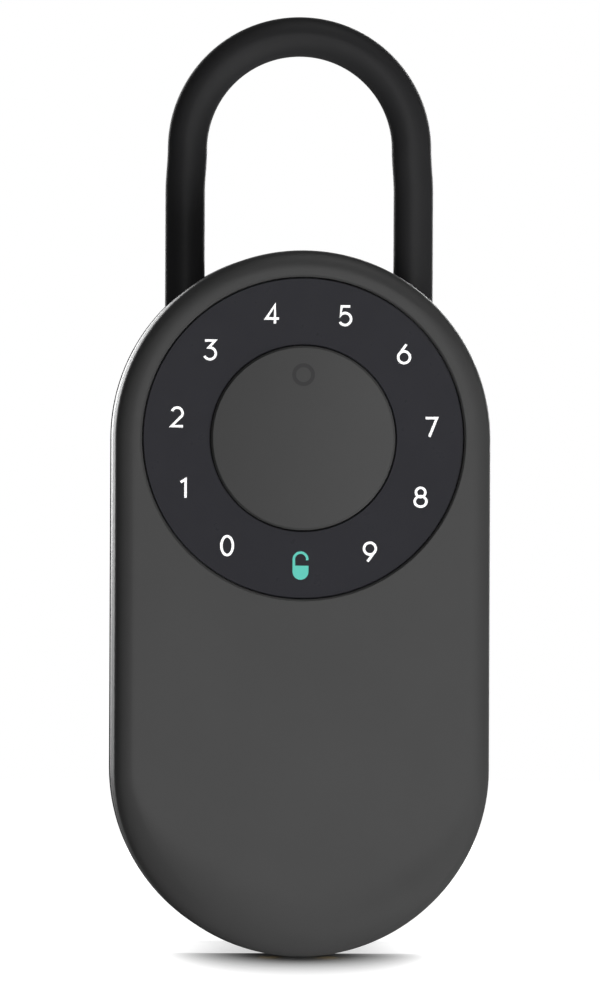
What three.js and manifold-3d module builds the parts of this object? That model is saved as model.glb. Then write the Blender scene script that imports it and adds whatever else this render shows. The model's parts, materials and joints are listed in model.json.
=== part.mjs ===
// Smart key safe: a slim case with a drop-down lid, a touch ring and a removable shackle.
// Millimetres, +Z up. The front faces -Y, and the origin is the centre of the wall face.
import * as THREE from 'three';
import { mergeVertices } from 'three/addons/utils/BufferGeometryUtils.js';
import Module from 'manifold-3d';

const wasm = await Module();
wasm.setup();

// Fits shared by all pieces
const clearance = 0.3;
const overrun = 1;
const roundSides = 16;
const smallSides = 10;

// Case, seen from the front: a stadium of two half rounds and two straight sides.
// The shackle and the pieces inside set its width, height and depth.
const legFromSide = 15.55;
const footRoom = 21.65;
const arcSteps = 24;

// Rear body
const rearDepth = 28;
const rearWall = 3;
const rearFloor = 4.2;
const rearEdgeRound = 2.5;
const rearEdgeSteps = 2;
const padInset = 6;
const padThickness = 1.2;
const padProud = 0.4;
const matThickness = 1.5;
const bulkheadThickness = 2;
const bulkheadBelowDial = 1.25;

// Wall-fixing holes and their plugs
const fixingRadius = 2.6;
const fixingSideways = 20;
const fixingAbove = 20;
const fixingBelow = 45;
const padHoleRadius = 4.2;
const plugHeadRadius = 4.5;
const plugHeadThickness = 1.2;
const plugStemLength = 2;

// Lid
const lidGap = 0.4;
const lidWall = 2.2;
const edgeRun = 5;
const edgeDrop = 4;
const edgeEase = 0.77;
const footRun = 16.5;
const footDrop = 9.5;
const falloffSteps = 5;
const linerThickness = 2;
const linerRecess = 1;
const linerGap = 0.4;
const linerScrewFromSide = 9.5;
const linerScrewPastArc = 2.75;
const bossRadius = 3.4;
const sealWidth = 1.6;
const sealThickness = 1.5;
const sealInset = 0.5;

// Hinge at the foot of the case
const hingeBarrelRadius = 4;
const hingeRecessRadius = 4.6;
const hingeAboveFoot = 4.2;
const hingeHalfWidth = 17.6;
const hingeEarWidth = 4.6;
const hingeEarOffset = 10;
const hingePinRadius = 1.2;
const hingePinHalfLength = 13;
const hingeBlockHalfWidth = 22;
const hingeBlockHeight = 10.25;

// Dial: touch ring, centre cap and what lies behind them
const dialRim = 5.65;
const dialSides = 64;
const ringWidth = 14.45;
const ringRecess = 0.7;
const ringThickness = 1.8;
const capThickness = 2.5;
const capEdgeRound = 0.3;
const touchBoardThickness = 1;
const dialFloor = 1.4;
const dialWall = 2.15;
const statusFromCapEdge = 6.1;
const lightPipeRadius = 2.4;
const lightPipeBore = 1.55;
const lightPipeLength = 1.4;

// Shackle
const shackleRadius = 4.25;
const coreRadius = 3.25;
const legSpacing = 48.9;
const legEase = 0.45;
const bendAboveTop = 22;
const legEaseHeight = 9.25;
const shackleFromWall = 15;
const legTipAboveDial = 3.6;
const shackleSides = 14;
const shackleSteps = 34;
const notchDepth = 2;
const socketRadius = 7;
const bushLength = 8;
const bushSeatHeight = 5;

// Shackle latch
const latchThickness = 2.5;
const latchAboveDial = 7.25;
const latchTravel = 2.2;
const latchDepth = 12;
const latchOverhang = 3;
const latchHoleClearance = 0.5;
const knobWidth = 10;
const knobHeight = 6;
const knobThickness = 1.4;
const knobStemWidth = 4;
const leafThickness = 0.6;
const leafWidth = 4;
const leafLength = 12;
const latchRibSideways = 14;
const latchRibWidth = 3;
const leafPostWidth = 6;
const notchClearance = 0.5;

// Cover of the mechanism bay
const bayCoverThickness = 2;
const bayCoverRecess = 2;
const bayBossRadius = 3;
const bayScrewFromSide = 9;
const bayScrewAboveDial = 2.15;
const bayScrewBelowTop = 7.95;

// Strike plate
const strikeThickness = 3;
const strikeBelowTop = 16.25;
const strikeBar = 2;
const strikeFromTower = 5.45;
const strikeBaseThickness = 2.5;
const strikeBaseFromWall = 18.5;
const strikeScrewFromEnd = 3.5;
const strikeWindowWall = 1.5;
const strikeSlotClearance = 1.2;

// Lock bolt, pinion and motor
const boltHeight = 5.2;
const boltThickness = 3.4;
const boltGapBehind = 1.3;
const boltFit = 0.4;
const boltTravel = 7.5;
const boltTip = -4;
const boltLength = 21;
const pinionTeeth = 10;
const pinionPitchRadius = 3;
const pinionHeight = 4.8;
const toothRise = 0.5;
const toothDepth = 0.7;
const toothTipShare = 0.16;
const toothRootShare = 0.44;
const rackTeethBehind = 6;
const rackTeethAhead = 2;
const shaftRadius = 1;
const shaftBore = 1.35;
const motorWidth = 12;
const motorThickness = 10;
const motorLength = 24;
const motorSideways = -14;
const motorNose = 1.6;
const motorFit = 0.4;
const gearboxLength = 10;
const guidePlate = 0.7;
const guideHalfHeight = 7.5;
const guideLength = 28;
const guideEndRoom = 4.5;
const guideRail = 1.1;
const guideGap = 2.9;

// Boards
const boardThickness = 1.2;
const mainBoardWidth = 50;
const mainBoardHeight = 29;
const boardBelowMotor = 1.7;
const radioWidth = 16;
const radioHeight = 11;
const radioThickness = 2.2;
const radioFromEnd = 11;
const radioRise = 16;
const buzzerRadius = 6;
const buzzerThickness = 4.5;
const buzzerFromEnd = 10;
const buzzerRise = 10;
const connectorWidth = 12;
const connectorHeight = 4;
const connectorRise = 13;

// Cells, tray, contacts and battery cover
const cellRadius = 5.25;
const cellLength = 43.5;
const cellNubRadius = 1.9;
const cellNubLength = 1;
const cellGap = 0.7;
const cellCount = 4;
const trayWall = 1;
const trayRoom = 4;
const trayBelowBoard = 4.9;
const contactThickness = 0.5;
const contactHeight = 8;
const trayGap = 0.6;
const thumbRadius = 5;
const thumbDepth = 0.8;
const thumbBelowTop = 7;

// Jump-start contacts in the lid's underside
const jumpSpacing = 12.7;
const jumpRadius = 2.4;
const jumpLength = 3.2;
const jumpForward = 8;
const jumpRecess = 0.9;
const jumpFlange = 0.8;
const jumpFlangeThickness = 1;

// Screws
const screwShankRadius = 1;
const screwHeadRadius = 2;
const screwHeadHeight = 1.2;
const screwLength = 6;
const driveRadius = 0.9;
const driveDepth = 0.7;
const driveSides = 6;

// Widths worked out from the sizes above
const legX = legSpacing / 2;
const endRadius = legX + legFromSide;
const dialRadius = endRadius - dialRim;
const ringInnerRadius = dialRadius - ringWidth;
const capRadius = ringInnerRadius - clearance;
const statusAboveDial = capRadius - statusFromCapEdge;
const bendRadius = legX - legEase;
const cavityRadius = endRadius - rearWall;
const linerRadius = endRadius - lidWall - linerGap;
const screwBore = screwShankRadius + clearance;
const cellPitch = 2 * cellRadius + cellGap;
const trayHalfWidth = (cellPitch * (cellCount - 1)) / 2 + cellRadius + clearance;
const linerScrewSideways = endRadius - linerScrewFromSide;
const bayScrewSideways = endRadius - bayScrewFromSide;
const strikeBaseHalfWidth = legX - socketRadius - strikeFromTower;
const strikeScrewSideways = strikeBaseHalfWidth - strikeScrewFromEnd;
const radioSideways = mainBoardWidth / 2 - radioFromEnd;
const buzzerSideways = buzzerFromEnd - mainBoardWidth / 2;
const guideRight = boltTip + boltTravel + guideEndRoom;
const guideLeft = guideRight - guideLength;

// Heights: the dial's centre is the upper arc's centre, and the pieces inside hang below it
const strikeAboveDial = endRadius - strikeBelowTop;
const trayEnd = contactThickness + 2 * clearance;
const trayHeight = cellLength + cellNubLength + 2 * (trayEnd + trayWall);
const motorBottomAboveDial = strikeAboveDial - pinionHeight / 2 - clearance - motorNose - motorLength;
const boardBottomAboveDial = motorBottomAboveDial - boardBelowMotor - mainBoardHeight;
const footBelowDial = -boardBottomAboveDial + trayBelowBoard + trayHeight + footRoom;
const caseHeight = endRadius + footBelowDial;
const dialCentre = caseHeight / 2 - endRadius;
const footCentre = -dialCentre;
const foot = -caseHeight / 2;
const hingeZ = foot + hingeAboveFoot;
const bulkheadTop = dialCentre - bulkheadBelowDial;
const bulkheadBottom = bulkheadTop - bulkheadThickness;
const latchBottom = dialCentre + latchAboveDial;
const latchTop = latchBottom + latchThickness;
const towerBottom = latchTop + clearance;
const bushSeat = towerBottom + bushSeatHeight;
const bushTop = bushSeat + bushLength;
const bendCentre = caseHeight / 2 + bendAboveTop;
const bayTop = caseHeight / 2 - bayScrewBelowTop;
const boltZ = dialCentre + strikeAboveDial;
const strikeHalfHeight = boltHeight / 2 + boltFit + strikeBar;
const pinionBottom = boltZ - pinionHeight / 2;
const motorTop = pinionBottom - clearance - motorNose;
const mainBoardBottom = dialCentre + boardBottomAboveDial;
const connectorBottom = mainBoardBottom + connectorRise;
const trayTop = mainBoardBottom - trayBelowBoard - trayWall;
const trayBottom = trayTop + 2 * trayWall - trayHeight;
const cellTop = trayTop - trayEnd;
const cellMiddle = cellTop - (cellLength + cellNubLength) / 2;

// Depths: from the wall face forward to the lid's front face
const rearRim = -rearDepth;
const lidRim = rearRim - lidGap;
const hingeY = (rearRim + lidRim) / 2;
const shackleY = -shackleFromWall;
const leafFront = shackleY + latchDepth / 2 + clearance;
const bayCoverFront = rearRim + bayCoverRecess;
const bayCoverBack = bayCoverFront + bayCoverThickness;
const strikeBaseBack = -strikeBaseFromWall;
const strikeBaseFront = strikeBaseBack - strikeBaseThickness;
const linerBack = lidRim - linerRecess;
const linerFront = linerBack - linerThickness;
const boltBack = linerFront - boltGapBehind;
const boltFront = boltBack - boltThickness;
const strikeTip = boltFront - boltFit - strikeWindowWall;
const pinionY = boltFront - pinionPitchRadius;
const cellY = linerFront - trayGap - cellRadius;
const trayFloor = cellY - cellRadius - clearance;
const dialStack = ringRecess + ringThickness + touchBoardThickness + 2 * clearance + dialFloor;
const lockFront = pinionY - motorThickness / 2 - motorFit - dialStack;
const powerFront = trayFloor - trayWall - trayRoom - lidWall;
const face = Math.min(lockFront, powerFront);
const caseDepth = -face;
const ringFront = face + ringRecess;
const ringBack = ringFront + ringThickness;
const touchFront = ringBack + clearance;
const touchBack = touchFront + touchBoardThickness;
const recessFloor = touchBack + clearance;
const dialBack = recessFloor + dialFloor;
const boardFront = dialBack + clearance;
const boardBack = boardFront + boardThickness;

// Other derived sizes and lists of places
const hingeRecessHalfWidth = hingeHalfWidth + hingeRecessRadius - hingeBarrelRadius;
const hingeBoreRadius = hingePinRadius + clearance;
const latchHoleRadius = coreRadius + latchHoleClearance;
const toothPitch = (2 * Math.PI * pinionPitchRadius) / pinionTeeth;
const bayScrewPlaces = [
  [0, bayTop],
  [-bayScrewSideways, dialCentre + bayScrewAboveDial],
  [bayScrewSideways, dialCentre + bayScrewAboveDial],
];
const linerScrewPlaces = [
  [-linerScrewSideways, dialCentre + linerScrewPastArc],
  [linerScrewSideways, dialCentre + linerScrewPastArc],
  [-linerScrewSideways, footCentre - linerScrewPastArc],
  [linerScrewSideways, footCentre - linerScrewPastArc],
];
const fixingPlaces = [
  [-fixingSideways, fixingAbove],
  [fixingSideways, fixingAbove],
  [-fixingSideways, -fixingBelow],
  [fixingSideways, -fixingBelow],
];

// Solids and cuts

// Turns a closed geometry into a solid that can be joined and cut
function solid(geometry) {
  geometry.deleteAttribute('normal');
  geometry.deleteAttribute('uv');
  const merged = mergeVertices(geometry);
  const corners = Array.from(merged.index.array);
  const triangles = [];
  for (let i = 0; i < corners.length; i += 3) {
    const [a, b, c] = corners.slice(i, i + 3);
    if (a !== b && b !== c && c !== a) triangles.push(a, b, c);
  }
  return new wasm.Manifold(new wasm.Mesh({
    numProp: 3,
    vertProperties: new Float32Array(merged.attributes.position.array),
    triVerts: new Uint32Array(triangles),
  }));
}

// The low and high limits of a stretch, from its middle and half its length
function span(middle, half) {
  return [middle - half, middle + half];
}

// A box between low and high limits along each axis
function box([x0, x1], [y0, y1], [z0, z1]) {
  const geometry = new THREE.BoxGeometry(x1 - x0, y1 - y0, z1 - z0);
  geometry.translate((x0 + x1) / 2, (y0 + y1) / 2, (z0 + z1) / 2);
  return solid(geometry);
}

// A round bar across the case, from x0 to x1
function barX(radius, [x0, x1], [y, z], sides = roundSides) {
  const geometry = new THREE.CylinderGeometry(radius, radius, x1 - x0, sides);
  geometry.rotateZ(Math.PI / 2);
  geometry.translate((x0 + x1) / 2, y, z);
  return solid(geometry);
}

// A round bar from front to back, from y0 to y1
function barY(radius, [y0, y1], [x, z], sides = roundSides) {
  const geometry = new THREE.CylinderGeometry(radius, radius, y1 - y0, sides);
  geometry.translate(x, (y0 + y1) / 2, z);
  return solid(geometry);
}

// An upright round bar, from z0 to z1
function barZ(radius, [z0, z1], [x, y], sides = roundSides) {
  const geometry = new THREE.CylinderGeometry(radius, radius, z1 - z0, sides);
  geometry.rotateX(Math.PI / 2);
  geometry.translate(x, y, (z0 + z1) / 2);
  return solid(geometry);
}

// A round piece turned about the upright axis, from a profile of [radius, height] points
function turned(profile, sides = roundSides) {
  const points = profile.map(([radius, height]) => new THREE.Vector2(radius, height));
  const geometry = new THREE.LatheGeometry(points, sides);
  geometry.rotateX(Math.PI / 2);
  return solid(geometry);
}

// A flat piece, drawn in X and Z and lying between y0 and y1
function slab(shape, [y0, y1], curveSegments = arcSteps / 2) {
  const geometry = new THREE.ExtrudeGeometry(shape, { depth: y1 - y0, bevelEnabled: false, curveSegments });
  geometry.rotateX(Math.PI / 2);
  geometry.translate(0, y1, 0);
  return solid(geometry);
}

// The outline of two half rounds joined by straight sides
function stadium(radius, upper = dialCentre, lower = footCentre) {
  const shape = new THREE.Shape();
  shape.absarc(0, upper, radius, 0, Math.PI, false);
  shape.absarc(0, lower, radius, Math.PI, 2 * Math.PI, false);
  shape.closePath();
  return shape;
}

function join(pieces) {
  return pieces.reduce((whole, piece) => whole.add(piece));
}

function cut(piece, tools) {
  return tools.reduce((left, tool) => left.subtract(tool), piece);
}

// The directions in which the case outline faces, with the arc centre of each
function outlineDirections() {
  const directions = [];
  for (const [centre, start] of [[dialCentre, 0], [footCentre, Math.PI]]) {
    for (let i = 0; i <= arcSteps; i += 1) {
      const angle = start + (Math.PI * i) / arcSteps;
      directions.push({ centre, x: Math.cos(angle), z: Math.sin(angle) });
    }
  }
  return directions;
}

// One ring round the case: placeOf gives the inset and the y of each direction
function caseRing(placeOf) {
  return outlineDirections().map((direction) => {
    const { inset, y } = placeOf(direction);
    const radius = endRadius - inset;
    return new THREE.Vector3(direction.x * radius, y, direction.centre + direction.z * radius);
  });
}

// Joins rings, listed from the back to the front, into one closed solid
function loft(rings) {
  const count = rings[0].length;
  const indices = [];
  for (let r = 0; r + 1 < rings.length; r += 1) {
    for (let i = 0; i < count; i += 1) {
      const a = r * count + i;
      const b = r * count + ((i + 1) % count);
      indices.push(a, b, a + count, b, b + count, a + count);
    }
  }
  const flat = (ring) => ring.map((point) => new THREE.Vector2(point.x, point.z));
  const last = (rings.length - 1) * count;
  for (const [a, b, c] of THREE.ShapeUtils.triangulateShape(flat(rings[0]), [])) {
    indices.push(a, c, b);
  }
  for (const [a, b, c] of THREE.ShapeUtils.triangulateShape(flat(rings.at(-1)), [])) {
    indices.push(last + a, last + b, last + c);
  }
  const positions = rings.flat().flatMap((point) => [point.x, point.y, point.z]);
  const geometry = new THREE.BufferGeometry();
  geometry.setAttribute('position', new THREE.Float32BufferAttribute(positions, 3));
  geometry.setIndex(indices);
  return solid(geometry);
}

// How far the front surface has fallen from the face, from 0 at the case's side to 1 at the face
function falloff(direction, share, grow = 0) {
  const footShare = THREE.MathUtils.smoothstep(-direction.z, 0, 1);
  const run = THREE.MathUtils.lerp(edgeRun, footRun, footShare);
  const drop = THREE.MathUtils.lerp(edgeDrop, footDrop, footShare);
  const angle = (share * Math.PI) / 2;
  return {
    inset: grow + run * (1 - Math.max(Math.cos(angle), 0) ** edgeEase),
    y: face + grow + drop * (1 - Math.sin(angle)),
  };
}

// The lid's outer form, or with grow the same form drawn in by a wall
function lidForm(grow, backY) {
  const rings = [caseRing(() => ({ inset: grow, y: backY }))];
  for (let i = 0; i <= falloffSteps; i += 1) {
    rings.push(caseRing((direction) => falloff(direction, i / falloffSteps, grow)));
  }
  return loft(rings);
}

// The rear body's outer form, with its rounded back edge
function rearForm() {
  const rings = [];
  for (let i = 0; i <= rearEdgeSteps; i += 1) {
    const angle = (i / rearEdgeSteps) * (Math.PI / 2);
    const inset = rearEdgeRound * (1 - Math.sin(angle));
    const y = -padProud - rearEdgeRound * (1 - Math.cos(angle));
    rings.push(caseRing(() => ({ inset, y })));
  }
  rings.push(caseRing(() => ({ inset: 0, y: rearRim })));
  return loft(rings);
}

// Rear body

function rearBody() {
  const form = rearForm();
  const cavity = slab(stadium(cavityRadius), [rearRim - overrun, -rearFloor]);
  const inside = [...socketTowers(), ...bayPosts(), hingeBlock()].map((piece) => piece.intersect(form));
  const cuts = [...socketBores(), ...padAndFixingCuts(), ...bayPostBores(), hingeRecess()];
  const shell = cut(join([form.subtract(cavity), ...inside]), cuts);
  return join([shell, ...hingeEars()]).subtract(hingeBore());
}

function socketTowers() {
  return [-legX, legX].map((x) => {
    const tower = barZ(socketRadius, [towerBottom, caseHeight / 2], [x, shackleY]);
    const root = box(span(x, socketRadius), [shackleY, 0], [towerBottom, caseHeight / 2]);
    return tower.add(root);
  });
}

function socketBores() {
  return [-legX, legX].flatMap((x) => [
    barZ(shackleRadius + clearance, [bushSeat, bendCentre], [x, shackleY]),
    barZ(coreRadius + clearance, [towerBottom - overrun, bushSeat + overrun], [x, shackleY]),
  ]);
}

// The bulkhead under the mechanism bay, and the posts and ribs in the bay
function bayPosts() {
  const bulkhead = box(span(0, endRadius), [bayCoverBack + clearance, 0], [bulkheadBottom, bulkheadTop]);
  const coverPosts = bayScrewPlaces.map((place) => barY(bayBossRadius, [bayCoverBack + clearance, 0], place));
  const strikePosts = [-strikeScrewSideways, strikeScrewSideways].map((x) => (
    barY(bayBossRadius, [strikeBaseBack + clearance, 0], [x, boltZ])
  ));
  const ribFront = shackleY - latchDepth / 2;
  const ribs = [-latchRibSideways, latchRibSideways].map((x) => (
    box(span(x, latchRibWidth / 2), [ribFront, 0], [bulkheadBottom, latchBottom - clearance])
  ));
  const leafBack = leafFront + leafThickness + clearance;
  const leafPost = box(span(0, leafPostWidth / 2), [leafBack, 0], [bulkheadBottom, latchTop]);
  return [bulkhead, ...coverPosts, ...strikePosts, ...ribs, leafPost];
}

function bayPostBores() {
  const coverBores = bayScrewPlaces.map((place) => (
    barY(screwBore, [bayCoverBack - overrun, bayCoverBack + screwLength], place, smallSides)
  ));
  const strikeBores = [-strikeScrewSideways, strikeScrewSideways].map((x) => (
    barY(screwBore, [strikeBaseBack - overrun, strikeBaseBack + screwLength], [x, boltZ], smallSides)
  ));
  return [...coverBores, ...strikeBores];
}

function padAndFixingCuts() {
  const padRecess = slab(stadium(endRadius - padInset + clearance), [-padThickness - clearance, overrun]);
  const holes = fixingPlaces.map((place) => barY(fixingRadius, [-rearFloor - overrun, overrun], place));
  return [padRecess, ...holes];
}

// The solid foot of the rear body
function hingeBlock() {
  return box(span(0, hingeBlockHalfWidth), [rearRim, 0], [foot, foot + hingeBlockHeight]);
}

// The hollow in that foot, in which the lid's barrels turn
function hingeRecess() {
  const across = span(0, hingeRecessHalfWidth);
  const round = barX(hingeRecessRadius, across, [hingeY, hingeZ]);
  const below = box(across, [rearRim - overrun, hingeY + hingeRecessRadius], [foot - overrun, hingeZ]);
  return round.add(below);
}

function hingeEars() {
  return [-hingeEarOffset, hingeEarOffset].map((x) => {
    const across = span(x, hingeEarWidth / 2);
    const radius = hingeBarrelRadius - clearance;
    const eye = barX(radius, across, [hingeY, hingeZ]);
    const root = box(across, [hingeY, hingeY + hingeRecessRadius + overrun], [hingeZ, hingeZ + radius]);
    return eye.add(root).intersect(slab(stadium(endRadius), [-caseDepth, 0]));
  });
}

function hingeBore() {
  const reach = hingePinHalfLength + clearance;
  return barX(hingeBoreRadius, span(0, reach), [hingeY, hingeZ], smallSides);
}

function backPad() {
  const pad = slab(stadium(endRadius - padInset), [-padThickness, 0]);
  const through = [-padThickness - overrun, overrun];
  return cut(pad, fixingPlaces.map((place) => barY(padHoleRadius, through, place)));
}

function keyMat() {
  const back = -rearFloor - clearance;
  const depth = [back - matThickness, back];
  const outline = slab(stadium(cavityRadius - 2 * clearance), depth);
  const matBottom = foot + hingeBlockHeight + 2 * clearance;
  const window = box(span(0, endRadius), [-caseDepth, 0], [matBottom, bulkheadBottom - clearance]);
  const holes = fixingPlaces.map((place) => barY(plugHeadRadius + clearance, [-caseDepth, 0], place));
  return cut(outline.intersect(window), holes);
}

// A plug for a wall-fixing hole: the head lies on the floor of the tray
function wallPlug() {
  const stemRadius = fixingRadius - clearance;
  return turned([
    [0, -plugStemLength],
    [stemRadius, -plugStemLength],
    [stemRadius, 0],
    [plugHeadRadius, 0],
    [plugHeadRadius, plugHeadThickness],
    [0, plugHeadThickness],
  ]);
}

// Shackle: two legs that ease inward to a half-round bend
class ShackleLine extends THREE.Curve {
  constructor(legBottom) {
    super();
    this.legBottom = legBottom;
    this.legLength = bendCentre - legBottom;
    this.wholeLength = 2 * this.legLength + Math.PI * bendRadius;
  }

  getPoint(share, target = new THREE.Vector3()) {
    const along = share * this.wholeLength;
    const side = along < this.wholeLength / 2 ? -1 : 1;
    const fromEnd = side < 0 ? along : this.wholeLength - along;
    if (fromEnd < this.legLength) {
      const z = this.legBottom + fromEnd;
      const ease = THREE.MathUtils.smoothstep(z, bendCentre - legEaseHeight, bendCentre);
      return target.set(side * THREE.MathUtils.lerp(legX, bendRadius, ease), shackleY, z);
    }
    const angle = (fromEnd - this.legLength) / bendRadius;
    const height = bendCentre + bendRadius * Math.sin(angle);
    return target.set(side * bendRadius * Math.cos(angle), shackleY, height);
  }
}

// A round bar, or a tube if it has a bore, along the shackle's line
function shackleBar(radius, legBottom, bore = 0) {
  const section = new THREE.Shape();
  section.absarc(0, 0, radius, 0, 2 * Math.PI, false);
  if (bore > 0) {
    const hole = new THREE.Path();
    hole.absarc(0, 0, bore, 0, 2 * Math.PI, true);
    section.holes.push(hole);
  }
  return solid(new THREE.ExtrudeGeometry(section, {
    steps: shackleSteps,
    extrudePath: new ShackleLine(legBottom),
    curveSegments: shackleSides / 2,
  }));
}

function shackleCore() {
  const notches = [-legX, legX].map((x) => box(
    [x - coreRadius - overrun, x - coreRadius + notchDepth],
    span(shackleY, socketRadius),
    [latchBottom - notchClearance, latchTop + notchClearance],
  ));
  return cut(shackleBar(coreRadius, dialCentre + legTipAboveDial), notches);
}

function shackleSleeve() {
  return shackleBar(shackleRadius, bushTop + 2 * clearance, coreRadius + clearance);
}

function socketBush() {
  const bore = coreRadius + clearance;
  return turned([[bore, 0], [shackleRadius, 0], [shackleRadius, bushLength], [bore, bushLength], [bore, 0]]);
}

// Latch plate: the straight sides of its two D-shaped holes shift into the notches of the legs
function latchPlate() {
  const reach = legX + latchHoleRadius + latchOverhang;
  const halfDepth = latchDepth / 2;
  const plate = box(span(0, reach), span(shackleY, halfDepth), [latchBottom, latchTop]);
  const height = [latchBottom - overrun, latchTop + overrun];
  const holes = [-legX, legX].flatMap((x) => [
    barZ(latchHoleRadius, height, [x, shackleY]),
    box([x - latchHoleRadius, x], span(shackleY, latchHoleRadius), height),
  ]);
  return cut(plate, holes);
}

function releaseKnob() {
  const stemBack = shackleY - latchDepth / 2 - clearance;
  const headBack = bayCoverFront - clearance;
  const middle = (latchBottom + latchTop) / 2;
  const stem = box(span(0, knobStemWidth / 2), [headBack, stemBack], [latchBottom, latchTop]);
  const head = box(
    span(0, knobWidth / 2),
    [headBack - knobThickness, headBack],
    span(middle, knobHeight / 2),
  );
  return stem.add(head);
}

function detentLeaf() {
  const middle = (latchBottom + latchTop) / 2;
  return box(
    span(0, leafLength / 2),
    [leafFront, leafFront + leafThickness],
    span(middle, leafWidth / 2),
  );
}

function bayCover() {
  const depth = [bayCoverFront, bayCoverBack];
  const outline = slab(stadium(cavityRadius - clearance), depth);
  const upper = box(span(0, endRadius), [-caseDepth, 0], [bulkheadBottom, caseHeight]);
  const through = [bayCoverFront - overrun, bayCoverBack + overrun];
  const slotHalfHeight = strikeHalfHeight + strikeSlotClearance;
  const slotHalfWidth = strikeThickness / 2 + strikeSlotClearance;
  const strikeSlot = box(span(0, slotHalfWidth), through, span(boltZ, slotHalfHeight));
  const stemReach = knobStemWidth / 2 + clearance;
  const knobSlot = box(
    [-stemReach, stemReach + latchTravel],
    through,
    [latchBottom - clearance, latchTop + clearance],
  );
  const holes = bayScrewPlaces.map((place) => barY(screwBore, through, place, smallSides));
  return cut(outline.intersect(upper), [strikeSlot, knobSlot, ...holes]);
}

// Strike plate: a T whose tongue reaches into the lid and has a window for the bolt
function strikePlate() {
  const height = span(boltZ, strikeHalfHeight);
  const base = box(span(0, strikeBaseHalfWidth), [strikeBaseFront, strikeBaseBack], height);
  const halfThickness = strikeThickness / 2;
  const tongue = box(span(0, halfThickness), [strikeTip, strikeBaseBack], height);
  const windowHalfHeight = boltHeight / 2 + boltFit;
  const window = box(
    span(0, strikeThickness),
    [boltFront - boltFit, boltBack + boltFit],
    span(boltZ, windowHalfHeight),
  );
  const through = [strikeBaseFront - overrun, strikeBaseBack + overrun];
  const holes = [-strikeScrewSideways, strikeScrewSideways].map((x) => (
    barY(screwBore, through, [x, boltZ], smallSides)
  ));
  return cut(base.add(tongue), [window, ...holes]);
}

function hingePin() {
  return barX(hingePinRadius, span(0, hingePinHalfLength), [hingeY, hingeZ], smallSides);
}

// A screw with its head above the height 0 and its shank below
function screw() {
  const body = turned([
    [0, -screwLength + screwHeadHeight],
    [screwShankRadius, -screwLength + screwHeadHeight],
    [screwShankRadius, clearance],
    [screwHeadRadius, clearance],
    [screwHeadRadius, clearance + screwHeadHeight],
    [0, clearance + screwHeadHeight],
  ], smallSides);
  const driveTop = clearance + screwHeadHeight + overrun;
  return body.subtract(barZ(driveRadius, [driveTop - overrun - driveDepth, driveTop], [0, 0], driveSides));
}

// Lid

function frontCover() {
  const form = lidForm(0, lidRim);
  const cavity = lidForm(lidWall, lidRim + overrun);
  const dialSeat = barY(dialRadius + dialWall, [face, dialBack], [0, dialCentre], dialSides);
  const bossEnd = linerFront - clearance;
  const screwDepth = [bossEnd - screwLength, bossEnd + overrun];
  const bosses = linerScrewPlaces.map((place) => barY(bossRadius, [face, bossEnd], place));
  const barrel = barX(hingeBarrelRadius, span(0, hingeHalfWidth), [hingeY, hingeZ]);
  const barrelInCase = barrel.intersect(slab(stadium(endRadius), [-caseDepth, 0]));
  const inside = join([dialSeat, ...bosses]).intersect(form);
  return cut(join([form.subtract(cavity), inside, barrelInCase]), [
    barY(dialRadius, [face - overrun, recessFloor], [0, dialCentre], dialSides),
    connectorSlot(),
    ...linerScrewPlaces.map((place) => barY(screwBore, screwDepth, place, smallSides)),
    ...jumpBores(),
    ...earPockets(),
    hingeBore(),
  ]);
}

function earPockets() {
  const width = hingeEarWidth + 2 * lidGap;
  return [-hingeEarOffset, hingeEarOffset].map((x) => (
    barX(hingeBarrelRadius + clearance, span(x, width / 2), [hingeY, hingeZ])
  ));
}

function connectorSlot() {
  const halfWidth = connectorWidth / 2 + clearance;
  const low = connectorBottom - clearance;
  const high = connectorBottom + connectorHeight + clearance;
  return box(span(0, halfWidth), [recessFloor - overrun, dialBack + overrun], [low, high]);
}

function keypadRing() {
  const shape = new THREE.Shape();
  shape.absarc(0, dialCentre, dialRadius - clearance, 0, 2 * Math.PI, false);
  const hole = new THREE.Path();
  hole.absarc(0, dialCentre, ringInnerRadius, 0, 2 * Math.PI, true);
  shape.holes.push(hole);
  return slab(shape, [ringFront, ringBack], dialSides / 2);
}

// The cap is turned about its own middle, with its face at the height 0
function centreCap() {
  const edge = capRadius - capEdgeRound;
  const cap = turned([
    [0, -capThickness],
    [capRadius, -capThickness],
    [capRadius, -capEdgeRound],
    [edge, 0],
    [0, 0],
  ], dialSides);
  const pocketDepth = -capThickness + lightPipeLength + clearance;
  const pocketRange = [-capThickness - overrun, pocketDepth];
  return cap.subtract(barZ(lightPipeRadius + clearance, pocketRange, [0, statusAboveDial]));
}

function lightPipe() {
  return turned([
    [lightPipeBore, 0],
    [lightPipeRadius, 0],
    [lightPipeRadius, lightPipeLength],
    [lightPipeBore, lightPipeLength],
    [lightPipeBore, 0],
  ]);
}

function touchBoard() {
  return barY(dialRadius - 2 * clearance, [touchFront, touchBack], [0, dialCentre], dialSides / 2);
}

function boardConnector() {
  return box(
    span(0, connectorWidth / 2),
    [touchBack + clearance, boardFront - clearance],
    [connectorBottom, connectorBottom + connectorHeight],
  );
}

function mainBoard() {
  return box(
    span(0, mainBoardWidth / 2),
    [boardFront, boardBack],
    [mainBoardBottom, mainBoardBottom + mainBoardHeight],
  );
}

function radioModule() {
  const front = boardBack + clearance;
  return box(
    span(radioSideways, radioWidth / 2),
    [front, front + radioThickness],
    span(mainBoardBottom + radioRise, radioHeight / 2),
  );
}

function buzzer() {
  const front = boardBack + clearance;
  return barY(buzzerRadius, [front, front + buzzerThickness], [buzzerSideways, mainBoardBottom + buzzerRise]);
}

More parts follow.
